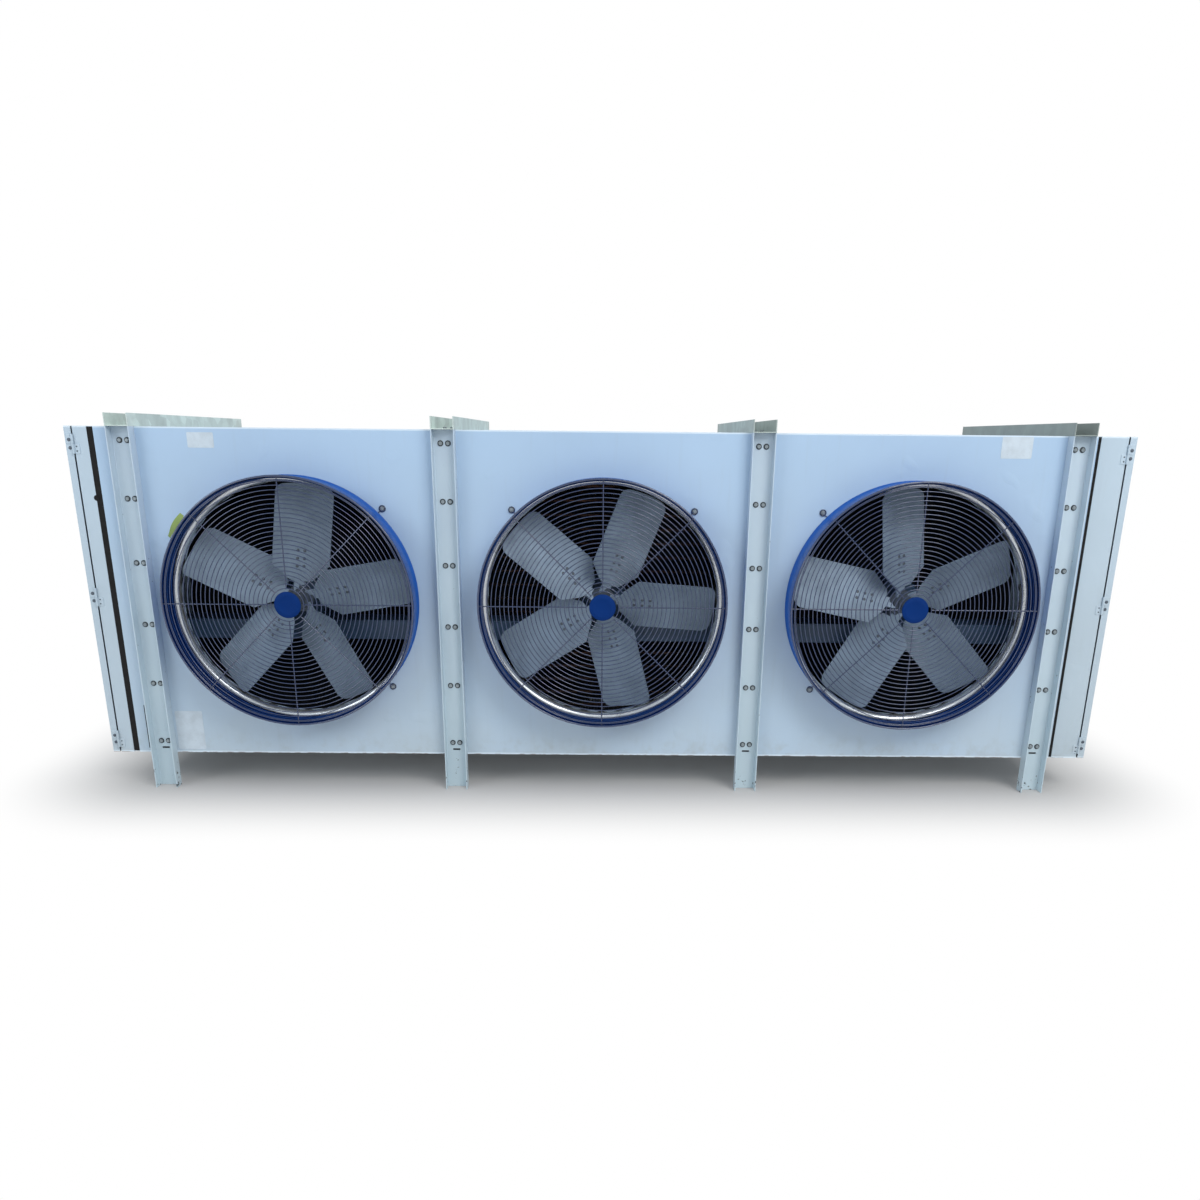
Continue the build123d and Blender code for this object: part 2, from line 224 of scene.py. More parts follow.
def sheet_paint(name, low=SHEET_LOW, high=SHEET_HIGH_SKY_REFLECTION):
    material, tree, shader = start_material(name, Specular_IOR_Level=0.42)
    rise = coordinate(tree, "Z")
    # Painted sky reflection: the tone turns bluer towards the top of the cabinet.
    tone = mixed(tree, spread(tree, rise, CABINET_BOTTOM, CABINET_TOP), low, high)
    tone = mixed(tree, patches(tree, 2.2, 4.0, 0.35, 0.70, 0.35), tone, shade(high, 1.16))
    runs = patches(tree, 14.0, 5.0, 0.56, 0.74, 0.10, stretch=(3.0, 3.0, 0.25))
    tone = mixed(tree, runs, tone, SHEET_DUST)
    dust_height = near_edge(tree, rise, CABINET_BOTTOM, 0.09, 0.0)
    dust = calc(tree, "MULTIPLY", dust_height, patches(tree, 26.0, 6.0, 0.46, 0.68, 0.45))
    tone = mixed(tree, dust, tone, SHEET_DUST)
    # Painted highlight: a light line along the top and bottom folds.
    top_fold_highlight = near_edge(tree, rise, CABINET_TOP, -0.0055, -0.0035, 0.75)
    low_fold_highlight = near_edge(tree, rise, CABINET_BOTTOM, 0.0065, 0.0045, 0.75)
    tone = mixed(tree, calc(tree, "ADD", top_fold_highlight, low_fold_highlight), tone, FOLD_HIGHLIGHT)
    # Dark brown patches along the cut lower edge.
    cut_edge = near_edge(tree, rise, CABINET_BOTTOM, 0.0028, 0.0012)
    brown_edge_patches = calc(tree, "MULTIPLY", cut_edge, patches(tree, 34.0, 5.0, 0.44, 0.60, 0.75))
    tone = mixed(tree, brown_edge_patches, tone, EDGE_DARK_BROWN)
    buckle = bump(tree, noise(tree, 3.0, 2.0), 0.16, 0.004)
    knocks = bump(tree, patches(tree, 11.0, 1.0, 0.66, 0.80), 0.35, 0.004, buckle)
    skin = bump(tree, noise(tree, 420.0, 2.0), 0.08, 0.001, knocks)
    feed(tree, shader, Base_Color=tone, Roughness=wander(tree, 9.0, 4.0, 0.30, 0.46), Normal=skin)
    return material


# %% [markdown]
# The legs wear the same paint but stand on the floor and get knocked, so theirs adds chips.
# Chips could be modelled one by one, but they are flat and their places don't matter. So they
# are a thresholded noise that bites harder near the foot and near the corners of the channel,
# showing dark primer. The legs stand one bay apart, so a ping-pong of x that is half a bay
# long is largest on every leg, and falls off the same way to both of its corners.

# %% Leg paint
LEG_LOW = (0.49, 0.60, 0.66)
LEG_HIGH = (0.48, 0.58, 0.68)
LEG_CLOUD = (0.56, 0.67, 0.73)
CHIP_COLOUR = (0.025, 0.03, 0.035)
CHIP_REACH = 0.14
FOOT_BITE = 0.10
CORNER_BITE = 0.055
CORNER_FROM, CORNER_TO = 0.031, 0.036


def leg_paint(name):
    material, tree, shader = start_material(name, Specular_IOR_Level=0.42)
    rise = coordinate(tree, "Z")
    tone = mixed(tree, spread(tree, rise, 0.0, CABINET_TOP), LEG_LOW, LEG_HIGH)
    tone = mixed(tree, patches(tree, 5.0, 5.0, 0.35, 0.70, 0.4), tone, LEG_CLOUD)
    near_foot = spread(tree, rise, CHIP_REACH, 0.0, 0.0, FOOT_BITE)
    half_bay = LEG_X[3]
    on_leg = calc(tree, "PINGPONG", coordinate(tree, "X"), half_bay)
    near_corner = spread(tree, on_leg, half_bay - CORNER_FROM, half_bay - CORNER_TO, 0.0, CORNER_BITE)
    speck = noise(tree, 55.0, 6.0, roughness=0.7)
    bite = calc(tree, "ADD", calc(tree, "ADD", speck, near_foot), near_corner)
    chip = spread(tree, bite, 0.715, 0.735)
    feed(tree, shader, Base_Color=mixed(tree, chip, tone, CHIP_COLOUR))
    feed(tree, shader, Roughness=wander(tree, 12.0, 4.0, 0.34, 0.52))
    feed(tree, shader, Normal=bump(tree, chip, -0.3, 0.001))
    return material


# %% [markdown]
# Metals come in a few sorts. Hot-dip zinc has large crystals, which a Voronoi cell pattern
# gives better than noise does, because each crystal has one even tone. Rolled aluminium has
# oxide clouds and small specks. Enamel is a colour under gloss. Each sort is one function, so
# a new finish is only a new line in the table below.

# %% Zinc
def galvanised(name, base, spangle_scale, metallic, roughness, grime=0.25, right_end_shade=0.0):
    """Zinc with crystal spangle and a dull bloom. A painted shade darkens it towards the right-hand
    end.
    """
    material, tree, shader = start_material(name, Metallic=metallic)
    place = add_node(tree, "ShaderNodeTexCoord").outputs["Object"]
    cells = add_node(tree, "ShaderNodeTexVoronoi", {"Vector": place, "Scale": spangle_scale})
    parts = add_node(tree, "ShaderNodeSeparateColor", {"Color": cells.outputs["Color"]})
    spangle = parts.outputs["Red"]
    tone = mixed(tree, spangle, shade(base, 0.86), shade(base, 1.1))
    tone = mixed(tree, patches(tree, 16.0, 6.0, 0.45, 0.72, grime), tone, shade(base, 0.62))
    # Painted shade: darker towards the right-hand end.
    if right_end_shade:
        right_end_shade_mask = spread(tree, coordinate(tree, "X"), LEG_X[2], LEG_X[4], 0.0, right_end_shade)
        tone = mixed(tree, right_end_shade_mask, tone, shade(base, 0.25))
    feed(tree, shader, Base_Color=tone, Roughness=spread(tree, spangle, 0.0, 1.0, *roughness))
    return material


# %% Enamel, aluminium and rubber
DUST_LIFT = 0.12


def enamel(name, base, roughness, coat, worn=0.12, specular=0.5):
    """Gloss paint on steel, a little uneven and dusty."""
    gloss = {"Coat_Weight": coat, "Coat_Roughness": 0.12, "Specular_IOR_Level": specular}
    material, tree, shader = start_material(name, **gloss)
    tone = mixed(tree, patches(tree, 18.0, 4.0, 0.3, 0.7, 0.35), base, shade(base, 0.7))
    dusty = tuple(DUST_LIFT + c for c in base)
    tone = mixed(tree, patches(tree, 90.0, 6.0, 0.6, 0.8, worn), tone, dusty)
    feed(tree, shader, Base_Color=tone)
    feed(tree, shader, Roughness=wander(tree, 30.0, 3.0, roughness, roughness + 0.14))
    return material


def rolled_aluminium(name, base, metallic, roughness):
    """Mill-finish sheet with oxide clouds and small dark specks."""
    material, tree, shader = start_material(name, Metallic=metallic)
    tone = mixed(tree, patches(tree, 12.0, 5.0, 0.3, 0.7), shade(base, 0.85), shade(base, 1.18))
    specks = patches(tree, 160.0, 4.0, 0.70, 0.76, 0.7, roughness=0.7)
    feed(tree, shader, Base_Color=mixed(tree, specks, tone, shade(base, 0.3)))
    feed(tree, shader, Roughness=wander(tree, 40.0, 5.0, *roughness))
    return material


def rubber(name):
    material, tree, shader = start_material(name, Specular_IOR_Level=0.2)
    tone = mixed(tree, noise(tree, 60.0, 4.0), (0.004, 0.004, 0.005), (0.016, 0.015, 0.015))
    feed(tree, shader, Base_Color=tone, Roughness=wander(tree, 120.0, 3.0, 0.6, 0.85))
    return material


# %% The finishes
# The last value is a painted shade that darkens the channels towards the right-hand end.
CHANNEL_ZINC = ((0.58, 0.67, 0.64), 22.0, 0.3, (0.5, 0.66), 0.5, 0.7)
RING_ZINC = ((0.72, 0.76, 0.80), 14.0, 0.8, (0.26, 0.32), 0.12)
# The blue in the blade colour is a painted reflection of the sky on grey aluminium.
BLADE_METAL_SKY_TINT = ((0.215, 0.285, 0.375), 0.30, (0.52, 0.68))
MATERIALS = {
    "white_paint": sheet_paint("white_paint"),
    "leg_paint": leg_paint("leg_paint"),
    "channel_steel": galvanised("channel_steel", *CHANNEL_ZINC),
    "blue_paint": enamel("blue_paint", (0.010, 0.090, 0.39), 0.34, 0.0, 0.06, 0.3),
    "galvanised_steel": galvanised("galvanised_steel", *RING_ZINC),
    "blade_aluminium": rolled_aluminium("blade_aluminium", *BLADE_METAL_SKY_TINT),
    "grey_paint": enamel("grey_paint", (0.040, 0.085, 0.16), 0.4, 0.0),
    # The fin colour is nearly black, a painted shade for the deep gaps between the fins.
    "fin_aluminium": rolled_aluminium("fin_aluminium", (0.050, 0.057, 0.070), 0.4, (0.5, 0.7)),
    "black_rubber": rubber("black_rubber"),
}
# The end pieces take a copy of the sheet paint that is a little darker and less blue, a painted shade.
END_SHADED_PAINT = sheet_paint("end_shaded_paint", (0.42, 0.50, 0.56), (0.43, 0.53, 0.62))
DISC_ENAMEL = enamel("disc_enamel", (0.001, 0.026, 0.15), 0.5, 0.0, 0.04, 0.08)
WIRE_ENAMEL = enamel("wire_enamel", (0.018, 0.036, 0.105), 0.20, 0.85, 0.06, 0.55)
HOOP_ENAMEL = enamel("hoop_enamel", (0.008, 0.050, 0.22), 0.28, 0.10, 0.03, 0.25)
# A darker copy of the blue enamel for the inside of the collars, a painted shade.
DRUM_INSIDE_SHADE = enamel("drum_inside_shade", (0.001, 0.016, 0.11), 0.6, 0.0, 0.02, 0.03)
DARK_WASHER_GREY = enamel("dark_washer_grey", (0.055, 0.065, 0.075), 0.6, 0.0, 0.1, 0.3)
BOLT_ZINC = galvanised("bolt_zinc", (0.30, 0.34, 0.36), 300.0, 0.6, (0.35, 0.55))
RIVET_STEEL = galvanised("rivet_steel", (0.10, 0.12, 0.15), 200.0, 0.6, (0.4, 0.6))
CAST_IRON = enamel("cast_iron", (0.030, 0.045, 0.07), 0.5, 0.0, 0.2)
# The tube copper is a dull dark brown: partly tarnish, partly a painted shade inside the coil.
DIRTY_SHADED_COPPER = rolled_aluminium("tube_copper_dirty_and_shaded", (0.26, 0.12, 0.075), 0.85, (0.35, 0.55))
print("finishes made:", sorted(MATERIALS))

# %% Give each carried-over piece its finish
SLOT_OF = {row["node"]: row["material_slot"] for row in frame["record"]["subparts"]}
for node, slot in SLOT_OF.items():
    finishes = frame["nodes"][node].data.materials
    finishes.clear()
    finishes.append(MATERIALS[slot])
print("pieces painted:", len(SLOT_OF))

# %% [markdown]
# Shapes that are made in mesh code share a few helpers. One turns a bmesh into a piece that
# stands in the frame, one spins a profile round an axis, as a lathe does, and one closes a
# slab between two outlines. Each could be a modifier on a curve instead, but then a piece
# would need its own object for every part of it.

# %% Helpers for meshes
def piece_from(shape, name, material, smooth=True):
    """An object from a bmesh, at the origin, with outward normals."""
    bmesh.ops.remove_doubles(shape, verts=shape.verts, dist=1e-6)
    bmesh.ops.recalc_face_normals(shape, faces=shape.faces)
    mesh = bpy.data.meshes.new(name)
    shape.to_mesh(mesh)
    shape.free()
    mesh.polygons.foreach_set("use_smooth", [smooth] * len(mesh.polygons))
    mesh.materials.append(material)
    made = bpy.data.objects.new(name, mesh)
    scene.collection.objects.link(made)
    return made


def settle(piece, body, slot, *replaced):
    """Ride on a body and stand for CAD nodes where it should. The slot is not used."""
    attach(piece, body)
    if replaced:
        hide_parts(*replaced)


def stitch(shape, first, second):
    """A band of faces between two closed loops of as many points."""
    for k in range(len(first)):
        after = (k + 1) % len(first)
        shape.faces.new((first[k], first[after], second[after], second[k]))


def add_slab(shape, *outlines):
    """A closed slab between two outlines of as many points."""
    loops = [[shape.verts.new(point) for point in outline] for outline in outlines]
    for loop in loops:
        shape.faces.new(loop)
    stitch(shape, *loops)


def turned(shape, profile, steps, place=Matrix.Identity(4)):
    """Spin a profile of (radius, height) points round local Z, closed at the axis."""
    angles = [2 * math.pi * k / steps for k in range(steps)]
    rings = []
    for radius, rise in profile:
        spots = [Vector((radius * math.cos(a), radius * math.sin(a), rise)) for a in angles]
        if radius == 0.0:
            spots = spots[:1]
        rings.append([shape.verts.new(place @ spot) for spot in spots])
    for low, high in zip(rings, rings[1:]):
        for k in range(steps):
            after = (k + 1) % steps
            corners = ((low, k), (low, after), (high, after), (high, k))
            loop = dict.fromkeys(ring[spot % len(ring)] for ring, spot in corners)
            if len(loop) > 2:
                shape.faces.new(list(loop))
    return shape


# %% [markdown]
# Folded sheet and rolled channel never have razor edges: a bend has a radius and a cut edge
# has a small burr that the paint rounds. The frame's pieces come as loose triangles, so each
# is copied, its triangles are merged back into flat faces, and a fine bevel catches the light
# along every edge. The copy then stands for the node.

# %% Legs, channels, doors and rails with soft edges
EDGE_ROUND = {
    "front_leg": 0.0011,
    "rear_leg": 0.0011,
    "roof_channel": 0.0011,
    "motor_rail": 0.0015,
}
SHEET_ROUND = 0.0007
FLAT_ANGLE = math.radians(0.5)
SHARP_ANGLE = math.radians(40.0)
BODIES = frame["record"]["behaviour"]["bodies"]
BODY_OF = {node: body for body, nodes in BODIES.items() for node in nodes}


def softened(node, radius):
    """A copy of a frame piece with merged faces and a small round on its sharp edges."""
    shape = bmesh.new()
    shape.from_mesh(frame["nodes"][node].data)
    bmesh.ops.remove_doubles(shape, verts=shape.verts, dist=1e-5)
    bmesh.ops.dissolve_limit(shape, angle_limit=FLAT_ANGLE, verts=shape.verts, edges=shape.edges)
    slot = SLOT_OF[node]
    # End pieces get the darker copy of the sheet paint, a painted shade.
    paint = END_SHADED_PAINT if node.startswith("end_") else MATERIALS[slot]
    made = piece_from(shape, f"soft_{node}", paint, smooth=False)
    edge = made.modifiers.new("Edge", "BEVEL")
    edge.width = radius
    edge.segments = 2
    edge.limit_method = "ANGLE"
    edge.angle_limit = SHARP_ANGLE
    settle(made, BODY_OF[node], slot, node)


for node in sorted(frame["nodes"]):
    kind = node.rstrip("_1234")
    if kind in EDGE_ROUND:
        softened(node, EDGE_ROUND[kind])
    elif kind.startswith(("end_door", "end_front", "rear_")):
        softened(node, SHEET_ROUND)
soft_names = [name for name in bpy.data.objects.keys() if name.startswith("soft_")]
print("pieces with soft edges:", len(soft_names))

# %% [markdown]
# The guard collar is a strip rolled into a smooth drum, with its front and back edges turned
# over a little so that the thin strip stays round. It could be a cylinder with a thickness,
# but as a turned shape its whole form is one profile: the outside, then back along the
# inside. The inside faces have a darker enamel than the outside, a painted shade inside
# the drum.

# %% Guard collars
TO_FRONT = Matrix.Rotation(math.pi / 2, 4, "X")
COLLAR_RADIUS = 0.403
COLLAR_REACH = SHEET_FRONT - GUARD_BACK
COLLAR_WALL = 0.0016
EDGE_TURN = 0.0022
EDGE_STEPS = 6
DRUM_RADIUS = COLLAR_RADIUS - EDGE_TURN
DRUM_STEPS = 128


def fan_place(i, y):
    """Local +Z towards the front on the axis of fan i, starting at this y."""
    return Matrix.Translation((FAN_CENTRES[i].x, y, FAN_HEIGHT)) @ TO_FRONT


def drum_profile():
    """Radius and height of a strip whose two edges are turned outward in a small half round."""
    outside = []
    for centre in (EDGE_TURN, COLLAR_REACH - EDGE_TURN):
        for k in range(EDGE_STEPS + 1):
            angle = math.radians(180.0 * k / EDGE_STEPS - 90.0)
            radius = DRUM_RADIUS + EDGE_TURN * math.cos(angle)
            outside.append((radius, centre + EDGE_TURN * math.sin(angle)))
    inside = [(DRUM_RADIUS - COLLAR_WALL, COLLAR_REACH), (DRUM_RADIUS - COLLAR_WALL, 0.0)]
    return outside + inside + outside[:1]


def make_collar(i):
    shape = turned(bmesh.new(), drum_profile(), DRUM_STEPS, fan_place(i, SHEET_FRONT))
    collar = piece_from(shape, f"collar_drum_{i}", MATERIALS["blue_paint"])
    collar.data.materials.append(DRUM_INSIDE_SHADE)
    # Faces inside the drum take the darker enamel, a painted shade.
    for polygon in collar.data.polygons:
        reach = (polygon.center - FAN_CENTRES[i]) * Vector((1.0, 0.0, 1.0))
        polygon.material_index = int(reach.length < DRUM_RADIUS - COLLAR_WALL / 2)
    settle(collar, "cabinet", "blue_paint", f"fan_collar_{i}")


# %% [markdown]
# Four side wires of the guard run round inside the collar, and their highlights are the
# bright lines one above the other in the drum. A hoop is a turned shape too: the profile of a
# round wire, closed on itself and spun round the fan axis.

# %% Side wires
SIDE_WIRES = 4
SIDE_WIRE = 0.0021
SIDE_FIRST, SIDE_SPAN = 0.46, 0.46
WIRE_SIDES = 8


def wire_profile(radius, rise, wire):
    """Round section of a hoop of wire, as a closed profile."""
    angles = [2 * math.pi * s / WIRE_SIDES for s in range(WIRE_SIDES + 1)]
    return [(radius + wire * math.cos(a), rise + wire * math.sin(a)) for a in angles]


def make_side_wires(i):
    """Hoops that lie against the inside of the drum, over the front half of its reach."""
    shape = bmesh.new()
    radius = DRUM_RADIUS - COLLAR_WALL - SIDE_WIRE
    for k in range(SIDE_WIRES):
        rise = COLLAR_REACH * (SIDE_FIRST + SIDE_SPAN * k / (SIDE_WIRES - 1))
        section = wire_profile(radius, rise, SIDE_WIRE)
        turned(shape, section, DRUM_STEPS, fan_place(i, SHEET_FRONT))
    side = piece_from(shape, f"guard_side_wires_{i}", HOOP_ENAMEL)
    settle(side, "cabinet", "blue_paint")


for i in FANS:
    make_collar(i)
    make_side_wires(i)
print("side wires in each collar:", SIDE_WIRES)

# %% [markdown]
# The orifice ring guides the air past the blade tips. It is spun from zinc-coated sheet: a
# short bore, a bell mouth that curls outward in front, and a flange behind the front sheet.
# Seen from the front the bell mouth is the bright ring just inside the collar. The real one
# is formed on a lathe, and a turned profile is the same work done in code.

# %% Orifice rings
RING_BORE = 0.3825
RING_SHEET = 0.0013
MOUTH_ROUND = 0.0135
MOUTH_STEPS = 10
LIP_SETBACK = 0.0005
FLANGE_RADIUS = 0.4015
FLANGE_SHEET = 0.0007
RING_BACK = face("orifice_ring_1", 1, 1)
RING_FRONT = face("orifice_ring_1", 1, 0)


def mouth_profile():
    """Bore and a mouth that curls a step past a quarter round, then the same sheet outside."""
    curl_radius = RING_BORE + MOUTH_ROUND
    curl_rise = RING_BACK - RING_FRONT - MOUTH_ROUND - LIP_SETBACK
    arc = [math.pi / 2 * k / MOUTH_STEPS for k in range(MOUTH_STEPS + 2)]

    def curl(radius, angles):
        return [(curl_radius - radius * math.cos(a), curl_rise + radius * math.sin(a)) for a in angles]

    foot = [(RING_BORE, 0.0)]
    inner = foot + curl(MOUTH_ROUND, arc)
    outer = curl(MOUTH_ROUND - RING_SHEET, reversed(arc)) + [(RING_BORE + RING_SHEET, FLANGE_SHEET)]
    flange = [(FLANGE_RADIUS, FLANGE_SHEET), (FLANGE_RADIUS, 0.0)]
    return inner + outer + flange + foot


for i in FANS:
    shape = turned(bmesh.new(), mouth_profile(), DRUM_STEPS, fan_place(i, RING_BACK))
    ring = piece_from(shape, f"bell_mouth_{i}", MATERIALS["galvanised_steel"])
    settle(ring, "cabinet", "galvanised_steel", f"orifice_ring_{i}")
print("bore of the rings in mm:", round(2000 * RING_BORE))

# %% [markdown]
# Each fan has five paddle blades of rolled aluminium sheet. A blade is one plate with a
# constant camber, set at one pitch, with parallel edges, rounded tip corners and shoulders
# that narrow to the boss, and it is riveted to a pitched arm behind it. Cutting the outline
# out of a bent plate would need a boolean and leave ragged faces. So the plate is laid out as
# rows across the blade, each row running from its own start to its own end along the arm, and
# the rows are closest where the corners turn.

# %% Blade outline and section
TIP, SHOULDER, ROOT = 0.377, 0.114, 0.058
BLADE_HALF, ROOT_HALF = 0.081, 0.030
TIP_CORNER = 0.028
PITCH = math.radians(29.0)
CAMBER = 0.012
BLADE_SHEET = 0.003
CHORD_END = BLADE_HALF / math.cos(PITCH)
CHORD_HALF = CHORD_END + BLADE_SHEET


def blade_reach(off):
    """Where the blade starts and ends along its arm, at this distance from its middle line."""
    off = min(abs(off), BLADE_HALF)
    start = ROOT + max(0.0, off - ROOT_HALF) / (BLADE_HALF - ROOT_HALF) * (SHOULDER - ROOT)
    corner_off = BLADE_HALF - TIP_CORNER
    inner_tip = TIP - TIP_CORNER
    if off <= corner_off * TIP / inner_tip:
        return start, math.sqrt(TIP**2 - off**2)
    corner = math.sqrt(inner_tip**2 - corner_off**2)
    return start, corner + math.sqrt(max(0.0, TIP_CORNER**2 - (off - corner_off) ** 2))


def pitched(along, chord, lift):
    """Point of a flat bar at the blade's pitch: chord across it, lift towards its front face."""
    across = chord * math.cos(PITCH) - lift * math.sin(PITCH)
    return Vector((along, -chord * math.sin(PITCH) - lift * math.cos(PITCH), across))


def blade_point(along, chord, rise):
    """Point of the cambered plate, with rise measured from its back face."""
    return pitched(along, chord, rise - CAMBER * (1 - (chord / CHORD_HALF) ** 2))


# %% Blade plates
BLADE_ROWS, BLADE_COLUMNS = 14, 8


def blade_row(row, rise):
    """One row of points across a skin. The rows crowd together towards the long edges."""
    chord = CHORD_END * math.sin(math.pi * (row / BLADE_ROWS - 0.5))
    low, high = blade_reach(blade_point(0.0, chord, rise).z)
    steps = [low + (high - low) * column / BLADE_COLUMNS for column in range(BLADE_COLUMNS + 1)]
    return [blade_point(along, chord, rise) for along in steps]


def add_blade(shape, turn):
    """One closed plate, with a front and a back skin and a rim between them."""
    rims = []
    for rise in (BLADE_SHEET, 0.0):
        rows = [blade_row(row, rise) for row in range(BLADE_ROWS + 1)]
        grid = [[shape.verts.new(turn @ point) for point in row] for row in rows]
        for first, second in zip(grid, grid[1:]):
            for k in range(BLADE_COLUMNS):
                shape.faces.new((first[k], first[k + 1], second[k + 1], second[k]))
        tips = [row[-1] for row in grid[1:-1]]
        roots = [row[0] for row in grid[-2:0:-1]]
        rims.append(grid[0] + tips + grid[-1][::-1] + roots)
    stitch(shape, *rims)


# %% Arms and rivets
ARM_START, ARM_TAPER, ARM_END = 0.024, 0.172, 0.190
ARM_HALF, ARM_TIP_HALF = 0.017, 0.009
ARM_TOP, ARM_BOTTOM = -0.0105, -0.0185
RIVET_ROWS = (0.108, 0.134, 0.160)
RIVET_OFF = 0.011
RIVET_PROFILE = ((0.0055, 0.0), (0.0050, 0.0013), (0.0032, 0.0022), (0.0, 0.0026))
RIVET_STEPS = 10


def add_arm(shape, turn):
    """Pitched flat bar behind the blade, narrowed at its end."""
    outline = [(ARM_START, -ARM_HALF), (ARM_TAPER, -ARM_HALF), (ARM_END, -ARM_TIP_HALF)]
    outline += [(along, -chord) for along, chord in reversed(outline)]
    lifts = (ARM_TOP, ARM_BOTTOM)
    add_slab(shape, *([turn @ pitched(*point, lift) for point in outline] for lift in lifts))


def add_rivets(shape, turn):
    face_out = Matrix.Rotation(math.pi / 2 + PITCH, 4, "X")
    for along in RIVET_ROWS:
        for off in (-RIVET_OFF, RIVET_OFF):
            seat = Matrix.Translation(blade_point(along, off, BLADE_SHEET))
            turned(shape, RIVET_PROFILE, RIVET_STEPS, turn @ seat @ face_out)


# %% The three sets of blades
BLADES = 5
FIRST_BLADE = {1: 154.0, 2: 140.0, 3: 96.0}
ROTOR_MIDDLE = SHEET_FRONT + 0.010

for i in FANS:
    shape, rivets = bmesh.new(), bmesh.new()
    centre = Matrix.Translation((FAN_CENTRES[i].x, ROTOR_MIDDLE, FAN_HEIGHT))
    for blade in range(BLADES):
        angle = math.radians(FIRST_BLADE[i] + 360.0 / BLADES * blade)
        turn = centre @ Matrix.Rotation(-angle, 4, "Y")
        add_blade(shape, turn)
        add_arm(shape, turn)
        add_rivets(rivets, turn)
    blades = piece_from(shape, f"blades_{i}", MATERIALS["blade_aluminium"], smooth=False)
    settle(blades, f"fan_{i}", "blade_aluminium", f"fan_rotor_{i}")
    settle(piece_from(rivets, f"blade_rivets_{i}", RIVET_STEEL), f"fan_{i}", "blade_aluminium")
print("blades made:", BLADES * len(FANS))

# %% [markdown]
# The arms meet in a cast boss on the motor shaft. It is a turned casting with a stepped face,
# and a nut on the end of the shaft. Turned shapes in one bmesh give all three: the nut is
# only a turned profile with six sides.

# %% Bosses and shafts
BOSS_BACK = ROTOR_MIDDLE + 0.028
MOTOR_FRONT = face("fan_motor_1", 1, 0)
BOSS_PROFILE = (
    (0.0, 0.0),
    (0.040, 0.0),
    (0.0440, 0.003),
    (0.0455, 0.014),
    (0.0440, 0.0185),
    (0.0340, 0.0200),
    (0.0320, 0.0245),
    (0.0180, 0.0260),
    (0.0160, 0.0290),
    (0.0, 0.0290),
)
NUT_PROFILE = ((0.011, 0.0290), (0.011, 0.0310), (0.0095, 0.0318), (0.0, 0.0318))
SHAFT_RADIUS = 0.012
SHAFT_IN_BOSS = 0.001
SHAFT_END = BOSS_BACK - MOTOR_FRONT
SHAFT_PROFILE = ((0.0, SHAFT_END), (SHAFT_RADIUS, SHAFT_END), (SHAFT_RADIUS, SHAFT_IN_BOSS))

for i in FANS:
    shape = bmesh.new()
    for profile, sides in ((BOSS_PROFILE, 40), (NUT_PROFILE, 6), (SHAFT_PROFILE, 20)):
        turned(shape, profile, sides, fan_place(i, BOSS_BACK))
    boss = piece_from(shape, f"fan_boss_{i}", CAST_IRON, smooth=False)
    settle(boss, f"fan_{i}", "blade_aluminium")
print("boss length in mm:", round(1000 * BOSS_PROFILE[-1][1]))

# %% [markdown]
# The motor is a closed, air-cooled barrel. Its casting has ribs along the body between two
# plain end bells, and it stands on a foot. Ribs could be blocks set round a cylinder, but
# then their roots would overlap. Here every ring of the barrel has the same number of points,
# and the ribs come from setting two points in four back by the depth of a groove.

# %% Motors
RIBS = 36
BARREL = (
    (0.0005, 0.026, 0.0),
    (0.0030, 0.030, 0.0),
    (0.0060, 0.058, 0.0),
    (0.0160, 0.0735, 0.0),
    (0.0240, 0.0750, 0.0),
    (0.0245, 0.0795, 0.006),
    (0.1750, 0.0795, 0.006),
    (0.1755, 0.0750, 0.0),
    (0.1900, 0.0700, 0.0),
    (0.1990, 0.0500, 0.0),
)
FOOT_OUTLINE = ((-0.064, 0.0), (-0.064, 0.009), (-0.046, 0.012), (-0.040, 0.040))
FOOT_INSET = 0.022
MOTOR_BACK = face("fan_motor_1", 1, 1)
FOOT_HEIGHT = face("fan_motor_1", 2, 0)


def add_barrel(shape, i):
    """Each row of BARREL is a place along the motor, a radius and the depth of its grooves."""
    centre = Vector((FAN_CENTRES[i].x, MOTOR_FRONT, FAN_HEIGHT))
    rings = []
    for along, radius, groove in BARREL:
        ring = []
        for k in range(4 * RIBS):
            angle = 2 * math.pi * k / (4 * RIBS)
            reach = radius - (groove if k % 4 > 1 else 0.0)
            spot = centre + Vector((math.cos(angle) * reach, along, math.sin(angle) * reach))
            ring.append(shape.verts.new(spot))
        rings.append(ring)
    for low, high in zip(rings, rings[1:]):
        stitch(shape, low, high)
    for end in (rings[0], rings[-1]):
        shape.faces.new(end)


def add_foot(shape, i):
    x_middle = FAN_CENTRES[i].x
    outline = list(FOOT_OUTLINE) + [(-x, z) for x, z in reversed(FOOT_OUTLINE)]
    ends = (MOTOR_FRONT + FOOT_INSET, MOTOR_BACK - FOOT_INSET)
    add_slab(shape, *([(x_middle + x, y, FOOT_HEIGHT + z) for x, z in outline] for y in ends))


for i in FANS:
    shape = bmesh.new()
    add_barrel(shape, i)
    add_foot(shape, i)
    motor = piece_from(shape, f"ribbed_motor_{i}", MATERIALS["grey_paint"], smooth=False)
    settle(motor, "cabinet", "grey_paint", f"fan_motor_{i}")
print("ribs on each motor:", RIBS)

# %% [markdown]
# Repeated things grow from Geometry Nodes. Each tree is built here with named inputs, ends in
# Realize Instances and Set Material, and its result becomes a plain mesh at once, because an
# exported model keeps no instances. The grow helper sets the inputs by their identifiers,
# evaluates the modifier and keeps only the mesh.

